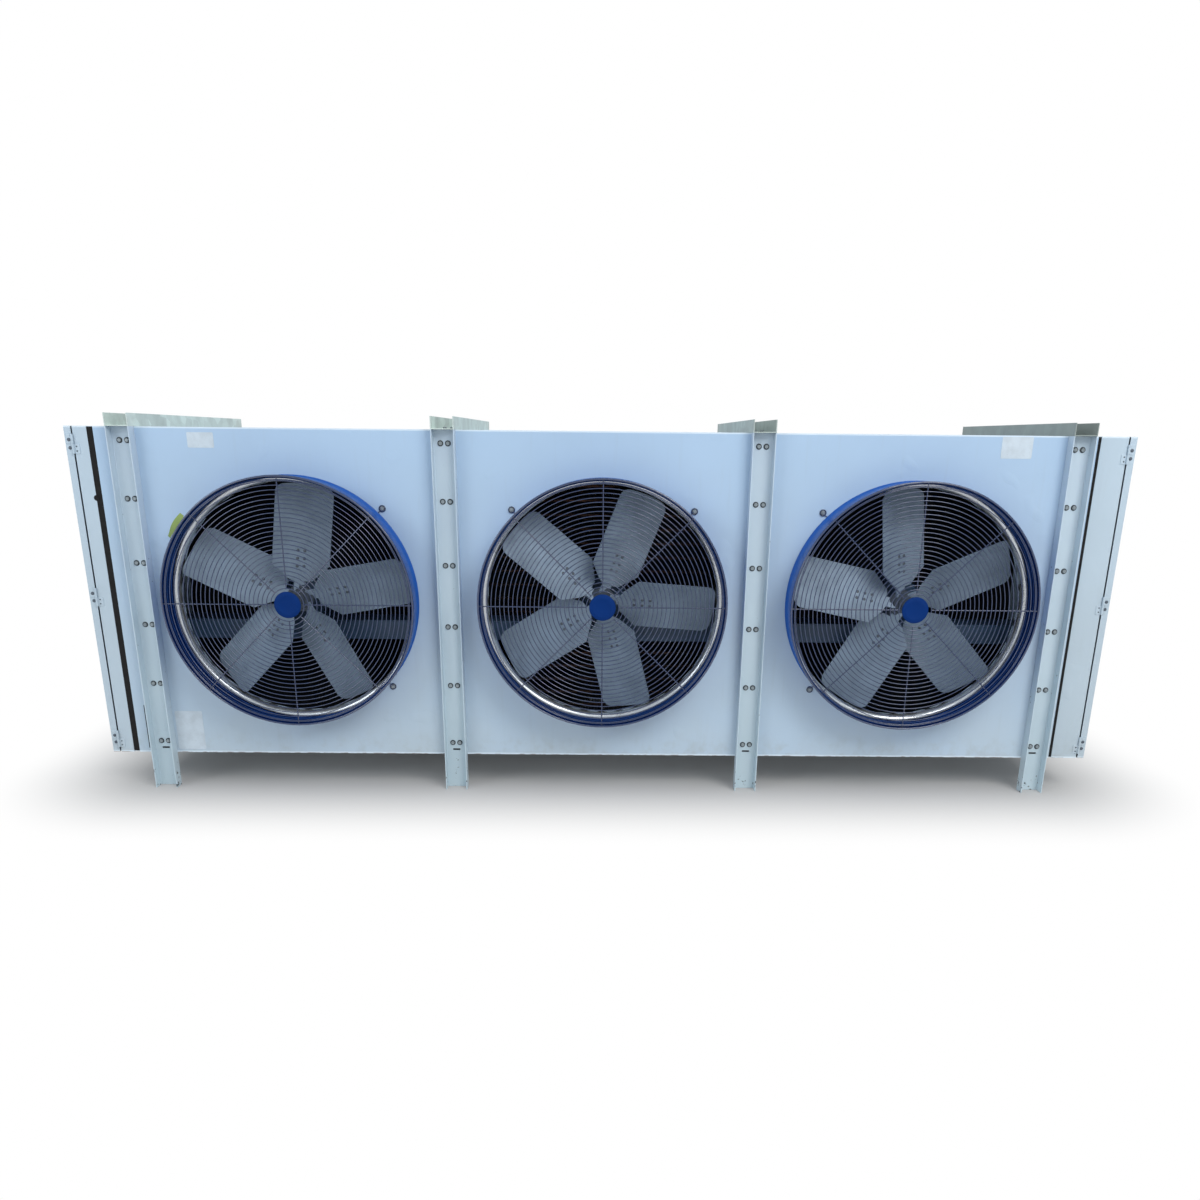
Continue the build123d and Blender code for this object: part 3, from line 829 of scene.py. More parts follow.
# %% Helpers for geometry trees
def start_tree(name, **inputs):
    """A geometry tree with named inputs. Returns the tree and its input sockets by name."""
    tree = bpy.data.node_groups.new(name, "GeometryNodeTree")
    add_socket = tree.interface.new_socket
    add_socket("Geometry", in_out="OUTPUT", socket_type="NodeSocketGeometry")
    for label, kind in {"Geometry": "Geometry", **inputs, "Material": "Material"}.items():
        add_socket(label.replace("_", " "), in_out="INPUT", socket_type=f"NodeSocket{kind}")
    given = tree.nodes.new("NodeGroupInput").outputs
    return tree, {socket.name: socket for socket in given if socket.name}


def end_tree(tree, geometry, given, smooth=True):
    """Realize, shade, set the material and send the result out."""
    real = add_node(tree, "GeometryNodeRealizeInstances", {"Geometry": geometry})
    shading = {"Geometry": real.outputs["Geometry"], "Shade Smooth": smooth}
    shaded = add_node(tree, "GeometryNodeSetShadeSmooth", shading)
    paint = {"Geometry": shaded.outputs["Geometry"], "Material": given["Material"]}
    painted = add_node(tree, "GeometryNodeSetMaterial", paint)
    out = tree.nodes.new("NodeGroupOutput")
    tree.links.new(painted.outputs["Geometry"], out.inputs["Geometry"])
    return tree


def vector(tree, **axes):
    """A vector with the axes that are given, and 0 on the others."""
    return add_node(tree, "ShaderNodeCombineXYZ", axes).outputs[0]


def rotation(tree, euler):
    return add_node(tree, "FunctionNodeEulerToRotation", {"Euler": euler}).outputs["Rotation"]


def index_of(tree):
    return tree.nodes.new("GeometryNodeInputIndex").outputs[0]


def moved(tree, geometry, offset):
    inputs = {"Geometry": geometry, "Translation": offset}
    return add_node(tree, "GeometryNodeTransform", inputs).outputs["Geometry"]


def on_points(tree, points, thing, **turning):
    """A copy of a thing on every point, with a rotation or a scale where one is given."""
    inputs = {"Points": points, "Instance": thing, **turning}
    return add_node(tree, "GeometryNodeInstanceOnPoints", inputs).outputs["Instances"]


def in_line(tree, count, offset=(0.0, 0.0, 0.0), start=(0.0, 0.0, 0.0)):
    """Points in a row, or all in one place where there is no offset."""
    inputs = {"Count": count, "Offset": offset, "Start Location": start}
    return add_node(tree, "GeometryNodeMeshLine", inputs).outputs["Mesh"]


# %% Grow a piece from its tree
def grow(name, tree, points=(), **values):
    """Evaluate a tree on a mesh of points and return the result as a plain mesh object."""
    mesh = bpy.data.meshes.new(name)
    mesh.from_pydata([tuple(p) for p in points], [], [])
    made = bpy.data.objects.new(name, mesh)
    scene.collection.objects.link(made)
    modifier = made.modifiers.new("Grow", "NODES")
    modifier.node_group = tree
    inputs = [item for item in tree.interface.items_tree if item.in_out == "INPUT"]
    identifiers = {item.name: item.identifier for item in inputs}
    for label, value in values.items():
        modifier[identifiers[label.replace("_", " ")]] = value
    bpy.context.view_layer.update()
    graph = bpy.context.evaluated_depsgraph_get()
    result = bpy.data.meshes.new_from_object(made.evaluated_get(graph), depsgraph=graph)
    made.modifiers.clear()
    made.data = result
    result.name = name
    result.calc_loop_triangles()
    print(name, "triangles:", len(result.loop_triangles))
    return made


# %% [markdown]
# Each fan has a wire guard: about twenty-six rings on eight radial spokes, a doubled rim and
# a pressed disc in the middle. It could be drawn ring by ring, but the rings only differ in
# radius, so a tree scales one circle along a line of points and sweeps a round wire over the
# result. The wire keeps its thickness because the sweep comes after the scaling.

# %% Sizes of the guards
RING_WIRE = 0.0015
SPOKE_WIRE = 0.0020
RIM_WIRE = 0.0034
RING_COUNT = 25
SPOKE_COUNT = 8
RIM_RADIUS = COLLAR_RADIUS - 0.0005
RIM_STEP = 0.0105
DISC_RADIUS = 0.043
FIRST_RING = DISC_RADIUS + 0.010
RING_PLANE = GUARD_FRONT + RIM_WIRE + 0.0004
RING_STEPS, RIM_STEPS, SECTION_STEPS = 96, 128, 6
UPRIGHT = (math.pi / 2, 0.0, 0.0)


# %% The guard tree
def swept(tree, curve, radius):
    """Round wire of this radius along a curve."""
    section = {"Resolution": SECTION_STEPS, "Radius": radius}
    profile = add_node(tree, "GeometryNodeCurvePrimitiveCircle", section).outputs["Curve"]
    inputs = {"Curve": curve, "Profile Curve": profile, "Fill Caps": True}
    return add_node(tree, "GeometryNodeCurveToMesh", inputs).outputs["Mesh"]


def upright_circle(tree, steps, radius):
    """Circle of this radius, upright in the plane of the guard."""
    made = add_node(tree, "GeometryNodeCurvePrimitiveCircle", {"Resolution": steps, "Radius": radius})
    inputs = {"Geometry": made.outputs["Curve"], "Rotation": UPRIGHT}
    return add_node(tree, "GeometryNodeTransform", inputs).outputs["Geometry"]


def guard_rings(tree, given):
    """Even steps from the first ring to the rim, as scales of one circle."""
    reach = calc(tree, "SUBTRACT", given["Rim Radius"], given["First Radius"])
    step = calc(tree, "DIVIDE", reach, given["Ring Count"])
    out = calc(tree, "MULTIPLY", index_of(tree), step)
    radius = calc(tree, "ADD", given["First Radius"], out)
    points = in_line(tree, given["Ring Count"])
    circles = on_points(tree, points, upright_circle(tree, RING_STEPS, 1.0), Scale=radius)
    real = add_node(tree, "GeometryNodeRealizeInstances", {"Geometry": circles})
    return swept(tree, real.outputs["Geometry"], given["Ring Wire"])


def guard_spokes(tree, given):
    """One straight wire, turned to even angles, and lying against the back of the rings."""
    ends = {"Start": vector(tree, Z=given["First Radius"]), "End": vector(tree, Z=given["Rim Radius"])}
    line = add_node(tree, "GeometryNodeCurvePrimitiveLine", ends).outputs["Curve"]
    spoke = swept(tree, line, given["Spoke Wire"])
    round_turns = calc(tree, "MULTIPLY", index_of(tree), 2 * math.pi)
    angle = calc(tree, "DIVIDE", round_turns, given["Spoke Count"])
    turn = rotation(tree, vector(tree, Y=angle))
    spokes = on_points(tree, in_line(tree, given["Spoke Count"]), spoke, Rotation=turn)
    behind = calc(tree, "ADD", given["Ring Wire"], given["Spoke Wire"])
    return moved(tree, spokes, vector(tree, Y=behind))


def guard_tree():
    sizes = ("First_Radius", "Rim_Radius", "Ring_Wire", "Spoke_Wire", "Rim_Wire")
    counts = ("Ring_Count", "Spoke_Count")
    inputs = {**dict.fromkeys(sizes, "Float"), **dict.fromkeys(counts, "Int")}
    tree, given = start_tree("wire_guard", Centre="Vector", **inputs)
    rim = swept(tree, upright_circle(tree, RIM_STEPS, given["Rim Radius"]), given["Rim Wire"])
    inner_radius = calc(tree, "SUBTRACT", given["Rim Radius"], RIM_STEP)
    inner_rim = swept(tree, upright_circle(tree, RIM_STEPS, inner_radius), given["Ring Wire"])
    joined = tree.nodes.new("GeometryNodeJoinGeometry")
    for part in (inner_rim, rim, guard_spokes(tree, given), guard_rings(tree, given)):
        tree.links.new(part, joined.inputs["Geometry"])
    return end_tree(tree, moved(tree, joined.outputs["Geometry"], given["Centre"]), given)


# %% Grow the three guards
GUARD_TREE = guard_tree()
for i in FANS:
    wires = grow(
        f"guard_wires_{i}",
        GUARD_TREE,
        Centre=(FAN_CENTRES[i].x, RING_PLANE, FAN_HEIGHT),
        First_Radius=FIRST_RING,
        Rim_Radius=RIM_RADIUS,
        Ring_Count=RING_COUNT,
        Ring_Wire=RING_WIRE,
        Spoke_Count=SPOKE_COUNT,
        Spoke_Wire=SPOKE_WIRE,
        Rim_Wire=RIM_WIRE,
        Material=WIRE_ENAMEL,
    )
    settle(wires, "cabinet", "blue_paint", f"fan_guard_{i}")

# %% [markdown]
# The disc in the middle of a guard is pressed sheet with a faint raised ring. It is a turned
# shape, so a profile of radius and height, spun round the fan axis, says all of it.

# %% Guard discs
DISC_SEAT = RING_PLANE + 0.0012
DISC_PROFILE = (
    (0.0, 0.0030),
    (0.026, 0.0030),
    (0.029, 0.0042),
    (0.033, 0.0042),
    (0.036, 0.0030),
    (0.0405, 0.0028),
    (DISC_RADIUS, 0.0012),
    (DISC_RADIUS, 0.0),
    (0.0, 0.0),
)
for i in FANS:
    shape = turned(bmesh.new(), DISC_PROFILE, 64, fan_place(i, DISC_SEAT))
    settle(piece_from(shape, f"guard_disc_{i}", DISC_ENAMEL), "cabinet", "blue_paint")
print("guard discs:", len(FANS))

# %% [markdown]
# Bolts hold the legs to the cabinet in pairs, six up each web, and one bolt holds each eye of
# a guard collar. Under each head is a dark washer, wider than the head, so a bolt reads as
# a pale dot in a dark ring. Washer and head are modelled once each, and a tree puts them on
# every point of a list, turned to face the way their sheet faces. Each copy is also twisted
# a little more than the one before, as no two bolts stop at the same angle.

# %% The tree that repeats a head
def repeat_tree():
    """Puts an object on every point, turned by one rotation and by its own twist."""
    tree, given = start_tree("repeat_on_points", Head="Object", Turn="Vector", Twist="Float")
    info = add_node(tree, "GeometryNodeObjectInfo", {"Object": given["Head"], "As Instance": True})
    swing = calc(tree, "MULTIPLY", index_of(tree), given["Twist"])
    turns = {"Rotation": rotation(tree, given["Turn"])}
    turns["Rotate By"] = rotation(tree, vector(tree, Z=swing))
    both = add_node(tree, "FunctionNodeRotateRotation", turns, rotation_space="LOCAL")
    turn = both.outputs["Rotation"]
    placed = on_points(tree, given["Geometry"], info.outputs["Geometry"], Rotation=turn)
    return end_tree(tree, placed, given, smooth=False)


REPEAT_TREE = repeat_tree()
HEAD_TWIST = 0.7
FACING = {
    "front": UPRIGHT,
    "rear": (-math.pi / 2, 0.0, 0.0),
    "up": (0.0, 0.0, 0.0),
}


def scatter(name, head, points, facing, material=BOLT_ZINC, body="cabinet", slot="channel_steel"):
    values = {"Head": head, "Turn": FACING[facing], "Twist": HEAD_TWIST, "Material": material}
    settle(grow(name, REPEAT_TREE, points, **values), body, slot)


# %% Washers and heads
templates = []


def template(name, *turnings):
    """A small turned thing to be repeated: each turning is a profile and its number of sides."""
    shape = bmesh.new()
    for profile, sides in turnings:
        turned(shape, profile, sides)
    made = piece_from(shape, name, BOLT_ZINC, smooth=False)
    templates.append(made)
    return made


def washer(radius, rise):
    return ((0.0, 0.0), (radius, 0.0), (radius, rise * 0.7), (radius * 0.93, rise), (0.0, rise))


def hexagon(radius, start, rise):
    return ((0.0, start), (radius, start), (radius, rise * 0.86), (radius * 0.84, rise), (0.0, rise))


# %% Bolts of the legs and roof channels
CHANNEL_WALL = 0.003
BOLT_HEIGHTS = (0.163, 0.369, 0.573, 0.778, 0.984, 1.165)
BOLT_SPACING = 0.024
SEAL_RISE = 0.0014
ROOF_ROWS = 4
ROOF_MARGIN = 0.10
LEG_WASHER = template("leg_seal", (washer(0.0094, SEAL_RISE), 20))
LEG_HEAD = template("leg_head", (hexagon(0.0064, SEAL_RISE, 0.0058), 6))


def in_pairs(places):
    """Two bolts at each place, side by side across the web of a channel."""
    return [(x + side * BOLT_SPACING / 2, y, z) for x, y, z in places for side in (-1, 1)]


front_web, rear_web = SHEET_FRONT - CHANNEL_WALL, REAR_FACE + CHANNEL_WALL
roof_web = CABINET_TOP + CHANNEL_WALL
roof_step = (REAR_FACE - SHEET_FRONT - 2 * ROOF_MARGIN) / (ROOF_ROWS - 1)
roof_rows = [SHEET_FRONT + ROOF_MARGIN + k * roof_step for k in range(ROOF_ROWS)]
bolted = {
    "front": in_pairs((x, front_web, z) for x in LEG_X.values() for z in BOLT_HEIGHTS),
    "rear": in_pairs((x, rear_web, z) for x in LEG_X.values() for z in BOLT_HEIGHTS),
    "up": in_pairs((x, y, roof_web) for x in LEG_X.values() for y in roof_rows),
}
for facing, points in bolted.items():
    # Dark grey washers under the heads of these bolts.
    scatter(f"bolt_seals_{facing}", LEG_WASHER, points, facing, DARK_WASHER_GREY, slot="black_rubber")
    scatter(f"bolt_heads_{facing}", LEG_HEAD, points, facing)

# %% [markdown]
# A collar is held by four wire eyes, welded to its foot at the diagonals. The eye is a loop
# of the same wire as the guard with a short straight stem, and a bolt goes through the loop.
# A curve with a bevel would give a loop too, but the turned wire section of the side wires
# does it with a smaller radius, and the stem is a turned pin laid on its side.

# %% Wire eyes and their bolts
EYE_RADIUS = 0.0098
EYE_WIRE = 0.0018
EYE_CIRCLE = 0.4215
EYE_ANGLES = (45, 135, 225, 315)
EYE_STEPS = 24
LAY_INWARD = Matrix.Rotation(-math.pi / 2, 4, "Y")
stem_end = EYE_CIRCLE - COLLAR_RADIUS + EYE_WIRE
STEM_PROFILE = ((0.0, EYE_RADIUS), (EYE_WIRE, EYE_RADIUS), (EYE_WIRE, stem_end), (0.0, stem_end))

eye_bolts = []
for i in FANS:
    shape = bmesh.new()
    for degrees in EYE_ANGLES:
        turn = Matrix.Rotation(math.radians(degrees), 4, "Z")
        out = Matrix.Translation((EYE_CIRCLE, 0.0, EYE_WIRE))
        place = fan_place(i, SHEET_FRONT) @ (turn @ out)
        turned(shape, wire_profile(EYE_RADIUS, 0.0, EYE_WIRE), EYE_STEPS, place)
        turned(shape, STEM_PROFILE, WIRE_SIDES, place @ LAY_INWARD)
        eye_bolts.append(place @ Vector((0.0, 0.0, -EYE_WIRE)))
    settle(piece_from(shape, f"collar_eyes_{i}", WIRE_ENAMEL), "cabinet", "blue_paint")
EYE_SEAL_RISE = 0.0036
EYE_HEAD = template(
    "eye_head", (washer(0.0074, EYE_SEAL_RISE), 18), (hexagon(0.0056, EYE_SEAL_RISE, 0.0084), 6)
)
scatter("eye_bolts", EYE_HEAD, eye_bolts, "front")

# %% [markdown]
# The doors hang on lift-off hinges. Each has a leaf and a knuckle on either side of the seam,
# and they came with the frame. What is left are the screws: two on the door side, one above
# the other, and two smaller ones on the fixed leaf. They are repeated by the same tree as the
# bolts, in two lists, because the door's screws ride with the door.

# %% Hinge screws
SCREW_PROFILE = ((0.0, 0.0), (0.0056, 0.0), (0.0052, 0.0012), (0.0035, 0.0020), (0.0, 0.0023))
PIN_PROFILE = ((0.0, 0.0), (0.0026, 0.0), (0.0022, 0.0007), (0.0, 0.0009))
SCREW_HEAD = template("screw_head", (SCREW_PROFILE, 16))
PIN_HEAD = template("pin_head", (PIN_PROFILE, 12))
HINGE_HEIGHTS = (CABINET_BOTTOM + 0.048, (CABINET_BOTTOM + CABINET_TOP) / 2, CABINET_TOP - 0.055)
HINGE_AXES = {joint["name"]: joint["pos_m"] for joint in frame["joints"]}
HINGE_RISE = 0.0125
DOOR_SCREW_X, FIXED_SCREW_X = 0.0115, 0.0100
FIXED_SCREW_DROPS = (0.008, 0.022)
LEAF_FRONT = SHEET_FRONT - 0.002

for name, side in ENDS.items():
    hinge_x = HINGE_AXES[f"{name}_door_hinge"][0]
    door_x = hinge_x + side * DOOR_SCREW_X
    fixed_x = hinge_x - side * FIXED_SCREW_X
    door_points, fixed_points = [], []
    for level in HINGE_HEIGHTS:
        door_points.append((door_x, LEAF_FRONT, level + HINGE_RISE))
        door_points.append((door_x, SHEET_FRONT, level - HINGE_RISE))
        fixed_points += [(fixed_x, LEAF_FRONT, level - drop) for drop in FIXED_SCREW_DROPS]
    scatter(f"door_screws_{name}", SCREW_HEAD, door_points, "front", RIVET_STEEL, f"{name}_door")
    scatter(f"fixed_screws_{name}", PIN_HEAD, fixed_points, "front", RIVET_STEEL)

# %% [markdown]
# Flat things on the sheets are thin plates with rounded corners: three blank stickers, the
# dark notch in the left seam, the dark slit beside the first leg, and dark plates in the
# slots of the legs, which are painted shade for the inside of the slots. Each could be a
# patch of colour in the paint, but film and plastic have an edge that catches the light.
# They are given a real thickness, so they don't flicker against the sheet that carries them.
# A plate is an outline of four corner arcs, extruded.

# %% Plates with rounded corners
CORNER_STEPS = 6


def flat_plate(name, x_range, z_range, corner, thickness, material):
    """Plate with rounded corners that lies on the front sheets."""
    left, right = x_range[0] + corner, x_range[1] - corner
    low, high = z_range[0] + corner, z_range[1] - corner
    outline = []
    for turn, (x, z) in enumerate(((right, high), (left, high), (left, low), (right, low))):
        for k in range(CORNER_STEPS + 1):
            angle = math.radians(90 * turn + 90 * k / CORNER_STEPS)
            outline.append((x + corner * math.cos(angle), z + corner * math.sin(angle)))
    shape = bmesh.new()
    depths = (SHEET_FRONT, SHEET_FRONT - thickness)
    add_slab(shape, *([(x, y, z) for x, z in outline] for y in depths))
    settle(piece_from(shape, name, material, smooth=False), "cabinet", "white_paint")


def sticker_film(name, base):
    """Plain film stock: nearly even, a little yellowed and scuffed."""
    material, tree, shader = start_material(name, Specular_IOR_Level=0.4)
    tone = mixed(tree, patches(tree, 30.0, 5.0, 0.4, 0.7), base, shade(base, 0.86))
    scuff = patches(tree, 140.0, 5.0, 0.60, 0.72, 0.3, stretch=(1.0, 1.0, 3.0))
    feed(tree, shader, Base_Color=mixed(tree, scuff, tone, shade(base, 0.6)))
    feed(tree, shader, Roughness=wander(tree, 60.0, 3.0, 0.35, 0.55))
    return material


# %% Stickers, notch, slit and the painted shade in the leg slots
FILM = sticker_film("sticker_film", (0.54, 0.62, 0.69))
FILM_CORNER, FILM_THICKNESS = 0.004, 0.0005
STICKERS = {
    "sticker_small": ((-1.324, -1.240), (1.144, 1.191)),
    "sticker_wide": ((1.276, 1.376), (1.136, 1.203)),
    "sticker_low": ((-1.479, -1.385), (0.1315, 0.2696)),
}
for name, (x_range, z_range) in STICKERS.items():
    flat_plate(name, x_range, z_range, FILM_CORNER, FILM_THICKNESS, FILM)
DARK = MATERIALS["black_rubber"]
flat_plate("seam_notch", (-1.6455, -1.6285), (0.9760, 0.9940), 0.0084, 0.0006, DARK)
flat_plate("seam_slit", (-1.5832, -1.5808), (0.135, 0.290), 0.0011, 0.0004, DARK)
SLOT_HALF_LENGTH, SLOT_HALF_HEIGHT = 0.0128, 0.0028
SLOT_LEVEL = 0.138
slot_rise = (SLOT_LEVEL - SLOT_HALF_HEIGHT, SLOT_LEVEL + SLOT_HALF_HEIGHT)
# Dark plates in the leg slots, a painted shade for the inside of the slots.
for i, x in LEG_X.items():
    slot_run = (x - SLOT_HALF_LENGTH, x + SLOT_HALF_LENGTH)
    flat_plate(f"leg_slot_{i}", slot_run, slot_rise, 0.0026, 0.0008, DARK)
print("stickers:", len(STICKERS))

# %% [markdown]
# A stiff plastic strip hangs at the rim of the first guard and leans outward and down. It is
# a plain band with a slight bow along its length, narrowed at both ends. A bent plane would
# do from the front, but the strip is seen edge on from the side, so it is made as a row of
# cross-sections with a real thickness.

# %% Tag on the first guard
TAG_TOP = Vector((-1.3187, -0.5205, 0.9448))
TAG_END = Vector((-1.3817, -0.4900, 0.8717))
TAG_WIDTH = 0.021
TAG_SHEET = 0.0009
TAG_BOW = 0.006
TAG_STEPS = 12
TAG_NARROWEST = 0.45
TAG_SHOULDER = 0.12
TAG_FILM = sticker_film("tag_film", (0.24, 0.34, 0.10))

shape = bmesh.new()
run = TAG_END - TAG_TOP
across = run.cross(Vector((0.0, 1.0, 0.0))).normalized() * (TAG_WIDTH / 2)
outward = run.cross(across).normalized()
sections = []
for k in range(TAG_STEPS + 1):
    part = k / TAG_STEPS
    centre = TAG_TOP + run * part + outward * (TAG_BOW * math.sin(math.pi * part) - TAG_SHEET)
    swell = math.sin(math.pi * min(1.0, TAG_SHOULDER + part))
    half = across * (TAG_NARROWEST + (1 - TAG_NARROWEST) * swell)
    front = outward * TAG_SHEET
    corners = (centre - half, centre + half, centre + half + front, centre - half + front)
    sections.append([shape.verts.new(corner) for corner in corners])
for low, high in zip(sections, sections[1:]):
    stitch(shape, low, high)
for end in (sections[0], sections[-1]):
    shape.faces.new(end)
settle(piece_from(shape, "guard_tag", TAG_FILM, smooth=False), "cabinet", "white_paint")
print("tag length in mm:", round(1000 * run.length))

# %% [markdown]
# Behind the fans stands the coil: hundreds of thin fins pressed on to rows of tubes. A solid
# block would look like a wall, and the real one is dark because light is lost between the
# fins. Here the fins are also given a nearly black colour and the tubes a dark brown, a
# painted shade. A tree repeats one fin along a line, and another repeats tubes over a grid.
# The tubes are joined in pairs by bends beyond the end walls, which show when an end door
# is open.

# %% Coil fins
COIL_LOW, COIL_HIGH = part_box("coil")
COIL_MIDDLE = (COIL_LOW + COIL_HIGH) / 2
COIL_SIZE = COIL_HIGH - COIL_LOW
FIN_PITCH = 0.006
FIN_SHEET = 0.0006


def fin_tree():
    tree, given = start_tree("coil_fins", Start="Vector", Size="Vector", Pitch="Float", Count="Int")
    step = vector(tree, X=given["Pitch"])
    fin = add_node(tree, "GeometryNodeMeshCube", {"Size": given["Size"]}).outputs["Mesh"]
    fins = on_points(tree, in_line(tree, given["Count"], step, given["Start"]), fin)
    return end_tree(tree, fins, given, smooth=False)


fin_count = int((COIL_SIZE.x - FIN_SHEET) / FIN_PITCH) + 1
fins = grow(
    "coil_fins",
    fin_tree(),
    Start=(COIL_MIDDLE.x - FIN_PITCH * (fin_count - 1) / 2, COIL_MIDDLE.y, COIL_MIDDLE.z),
    Size=(FIN_SHEET, COIL_SIZE.y, COIL_SIZE.z),
    Pitch=FIN_PITCH,
    Count=fin_count,
    Material=MATERIALS["fin_aluminium"],
)
settle(fins, "cabinet", "fin_aluminium", "coil")

# %% Coil tubes
TUBE_ROWS = 8
TUBES_HIGH = 20
TUBE_RADIUS = 0.0080
TUBE_SIDES = 12
TUBE_BEYOND_WALL = 0.005
STAGGER = (0.72, 0.28)
WALL_OUTSIDE = face("end_wall_right", 0, 1)


def tube_tree():
    tree, given = start_tree("coil_tubes", Radius="Float", Length="Float")
    size = {"Vertices": TUBE_SIDES, "Radius": given["Radius"], "Depth": given["Length"]}
    tube = add_node(tree, "GeometryNodeMeshCylinder", size, fill_type="NONE").outputs["Mesh"]
    tubes = on_points(tree, given["Geometry"], tube, Rotation=(0.0, math.pi / 2, 0.0))
    return end_tree(tree, tubes, given)


row_step = COIL_SIZE.y / TUBE_ROWS
tube_step = COIL_SIZE.z / TUBES_HIGH
tube_places = [
    (COIL_LOW.y + row_step * (r + 0.5), COIL_LOW.z + tube_step * (t + STAGGER[r % 2]))
    for r in range(TUBE_ROWS)
    for t in range(TUBES_HIGH)
]
tube_length = 2 * (WALL_OUTSIDE + TUBE_BEYOND_WALL)
tube_points = [(0.0, y, z) for y, z in tube_places]
tube_values = {"Radius": TUBE_RADIUS, "Length": tube_length, "Material": DIRTY_SHADED_COPPER}
tubes = grow("coil_tubes", tube_tree(), tube_points, **tube_values)
settle(tubes, "cabinet", "fin_aluminium")

# %% Return bends
BEND_STEPS, BEND_SIDES = 8, 10
BEND_SEAT = WALL_OUTSIDE + 0.004
BEND_TURN = {"left": (0.0, 0.0, math.pi), "right": (0.0, 0.0, 0.0)}


def return_bend(span):
    """Half ring of tube that bulges to +X, with its open ends at z = 0 and z = span."""
    shape = bmesh.new()
    across = Vector((0.0, 1.0, 0.0))
    turns = [2 * math.pi * s / BEND_SIDES for s in range(BEND_SIDES)]
    rings = []
    for k in range(BEND_STEPS + 1):
        angle = math.pi * k / BEND_STEPS
        outward = Vector((math.sin(angle), 0.0, -math.cos(angle)))
        centre = Vector((0.0, 0.0, span / 2)) + outward * span / 2
        section = [math.cos(t) * outward + math.sin(t) * across for t in turns]
        rings.append([shape.verts.new(centre + TUBE_RADIUS * spot) for spot in section])
    for low, high in zip(rings, rings[1:]):
        stitch(shape, low, high)
    return piece_from(shape, "bend", DIRTY_SHADED_COPPER)


bend = return_bend(tube_step)
templates.append(bend)
for name, side in ENDS.items():
    first = 0 if side > 0 else 1
    spots = []
    for r in range(TUBE_ROWS):
        column = tube_places[r * TUBES_HIGH : (r + 1) * TUBES_HIGH]
        spots += [(side * BEND_SEAT, y, z) for y, z in column[first : TUBES_HIGH - 1 : 2]]
    values = {"Head": bend, "Turn": BEND_TURN[name], "Twist": 0.0, "Material": DIRTY_SHADED_COPPER}
    bends = grow(f"return_bends_{name}", REPEAT_TREE, spots, **values)
    settle(bends, "cabinet", "fin_aluminium")

# %% Put the templates away
for used in templates:
    bpy.data.objects.remove(used)

# %% [markdown]
# The stage is a plain white floor that runs on to a white world. The camera should see white,
# but white light on everything would wash the object out. So the floor is a pale surface
# close to the object, where it has to hold the shadow, and for camera, glossy and
# transmission rays it fades into pure white further away. Close to the object those rays see
# a darker grey than the light the floor bounces, a painted shadow under the object.

# %% Floor
STAGE = 30.0
LEAST_WHITE = 0.035
PURE_WHITE = (1.0, 1.0, 1.0, 1.0)


def beyond(tree, value, edge):
    """How far a coordinate lies outside plus or minus edge, and 0 inside."""
    outside = calc(tree, "SUBTRACT", calc(tree, "ABSOLUTE", value, 0.0), edge)
    return calc(tree, "MAXIMUM", outside, 0.0)


def distance_fade(tree, half_length, half_depth, fade_to):
    """0 under the object, in a rectangle of these half sizes, and 1 at fade_to outside it."""
    x = beyond(tree, coordinate(tree, "X"), half_length)
    y = beyond(tree, coordinate(tree, "Y"), half_depth)
    away = add_node(tree, "ShaderNodeVectorMath", {0: vector(tree, X=x, Y=y)}, operation="LENGTH")
    limits = {"Value": away.outputs["Value"], "From Min": 0.0, "From Max": fade_to}
    smooth = add_node(tree, "ShaderNodeMapRange", limits, interpolation_type="SMOOTHSTEP")
    return smooth.outputs["Result"]


def white_floor(name, near, bounce, **fading):
    """Floor that is white to the eye far from the object and grey close to it, with a painted shadow
    there: the eye sees a darker grey than the floor bounces.
    """
    material = bpy.data.materials.new(name)
    material.use_nodes = True
    tree = material.node_tree
    tree.nodes.clear()
    rays = add_node(tree, "ShaderNodeLightPath").outputs
    seen = rays["Is Camera Ray"]
    for other in ("Is Glossy Ray", "Is Transmission Ray"):
        seen = calc(tree, "MAXIMUM", seen, rays[other])
    fade = calc(tree, "MAXIMUM", distance_fade(tree, **fading), LEAST_WHITE)
    shown = calc(tree, "MULTIPLY", seen, fade)
    # Camera, glossy and transmission rays see the darker grey near the object, a painted shadow.
    matt = add_node(tree, "ShaderNodeBsdfDiffuse", {"Color": mixed(tree, seen, bounce, near)})
    white = add_node(tree, "ShaderNodeEmission", {"Color": PURE_WHITE, "Strength": 1.0})
    both = add_node(tree, "ShaderNodeMixShader", {0: shown, 1: matt.outputs[0], 2: white.outputs[0]})
    out = tree.nodes.new("ShaderNodeOutputMaterial")
    tree.links.new(both.outputs[0], out.inputs["Surface"])
    return material


FLOOR_FADE = {"half_length": 1.50, "half_depth": 0.24, "fade_to": 0.68}
# The first grey is the painted shadow that the camera sees close to the object.
floor_white = white_floor("floor_white", (0.40, 0.40, 0.40), (0.80, 0.78, 0.75), **FLOOR_FADE)
corners = [(-STAGE, -STAGE, 0), (STAGE, -STAGE, 0), (STAGE, STAGE, 0), (-STAGE, STAGE, 0)]
shape = bmesh.new()
shape.faces.new([shape.verts.new(corner) for corner in corners])
floor = piece_from(shape, "floor", floor_white, smooth=False)

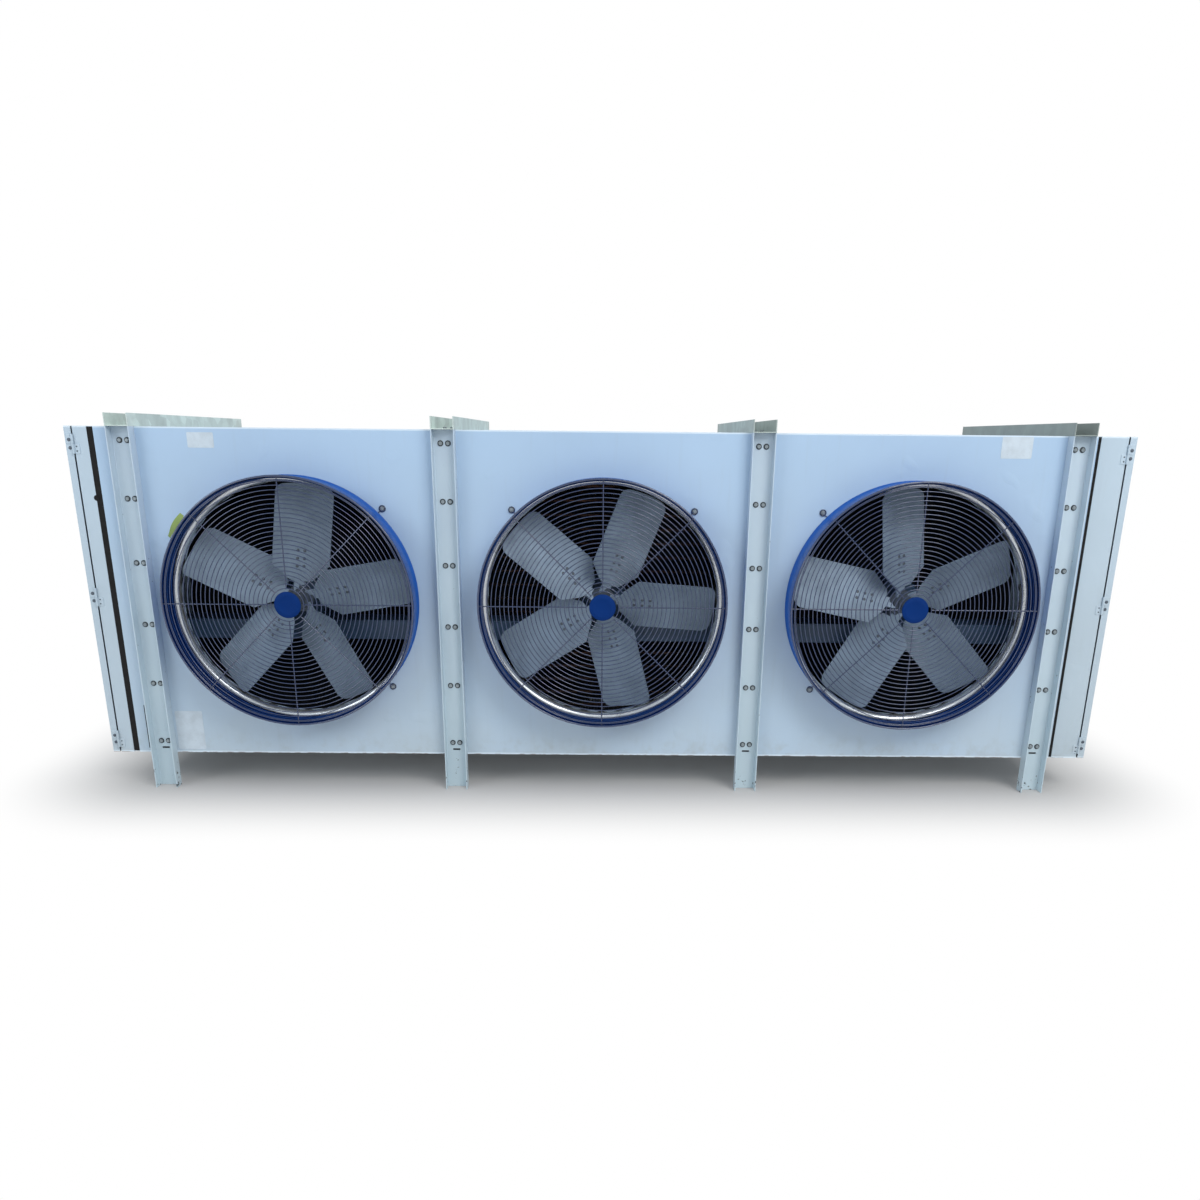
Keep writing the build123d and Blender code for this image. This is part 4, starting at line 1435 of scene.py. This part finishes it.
# %% World
SOFT_LIGHT = {"Color": (0.86, 0.93, 1.0, 1.0), "Strength": 0.62}
world = bpy.data.worlds.new("studio")
world.use_nodes = True
scene.world = world
tree = world.node_tree
tree.nodes.clear()
rays = add_node(tree, "ShaderNodeLightPath").outputs
soft = add_node(tree, "ShaderNodeBackground", SOFT_LIGHT).outputs[0]
plain = add_node(tree, "ShaderNodeBackground", {"Color": PURE_WHITE, "Strength": 1.0}).outputs[0]
shown = add_node(tree, "ShaderNodeMixShader", {0: rays["Is Camera Ray"], 1: soft, 2: plain})
out = tree.nodes.new("ShaderNodeOutputWorld")
tree.links.new(shown.outputs[0], out.inputs["Surface"])
print("stage ready")

# %% [markdown]
# The light is one large soft key from the upper right, a weak fill from the left, a rim light
# from behind that draws the top edges, and the world for the rest. A single hard lamp would
# be simpler, but it would leave the inside of the collars black.

# %% Lights
def soft_light(name, place, target, size, power, colour=(1.0, 1.0, 1.0)):
    data = bpy.data.lights.new(name, "AREA")
    data.shape = "RECTANGLE"
    data.size, data.size_y = size
    data.energy = power
    data.color = colour
    lamp = bpy.data.objects.new(name, data)
    lamp.location = place
    lamp.rotation_euler = (Vector(target) - Vector(place)).to_track_quat("-Z", "Y").to_euler()
    scene.collection.objects.link(lamp)


soft_light("key", (2.6, -4.2, 4.6), (0.0, 0.0, 0.6), (3.0, 3.0), 210.0, (1.0, 0.98, 0.95))
soft_light("fill", (-4.5, -4.0, 2.6), (0.0, 0.0, 0.6), (3.0, 2.0), 75.0, (0.93, 0.97, 1.0))
soft_light("rim", (0.0, 4.5, 4.0), (0.0, 0.0, 0.8), (4.0, 2.0), 110.0)

# %% [markdown]
# The camera stands in front of the middle fan at about head height and looks down a little.
# It could be placed by eye, but its place, lens and small shift were worked out from the
# photographed corners of the cabinet, so the outline can be laid over the photograph.

# %% Camera
CAMERA_PLACE = Vector((-0.004, -3.513, 1.182))
CAMERA_LENS = 27.92
SENSOR_WIDTH = 36.0
SHIFT_X, SHIFT_Y = -0.0086, 0.1083
PITCH_DOWN = 0.3025
YAW = 0.0112
ROLL = 0.0105
FAR_LIMIT = 100.0

ahead = math.cos(PITCH_DOWN)
forward = Vector((math.sin(YAW) * ahead, math.cos(YAW) * ahead, -math.sin(PITCH_DOWN)))
level_right = forward.cross(Vector((0.0, 0.0, 1.0))).normalized()
level_up = level_right.cross(forward)
right = math.cos(ROLL) * level_right + math.sin(ROLL) * level_up
up = math.cos(ROLL) * level_up - math.sin(ROLL) * level_right
camera_data = bpy.data.cameras.new("camera")
camera_data.lens = CAMERA_LENS
camera_data.sensor_width = SENSOR_WIDTH
camera_data.shift_x = SHIFT_X
camera_data.shift_y = SHIFT_Y
camera_data.clip_end = FAR_LIMIT
camera = bpy.data.objects.new("camera", camera_data)
camera_turn = Matrix((right, up, -forward)).transposed().to_4x4()
camera.matrix_world = Matrix.Translation(CAMERA_PLACE) @ camera_turn
scene.collection.objects.link(camera)
scene.camera = camera
scene.view_settings.view_transform = "Standard"
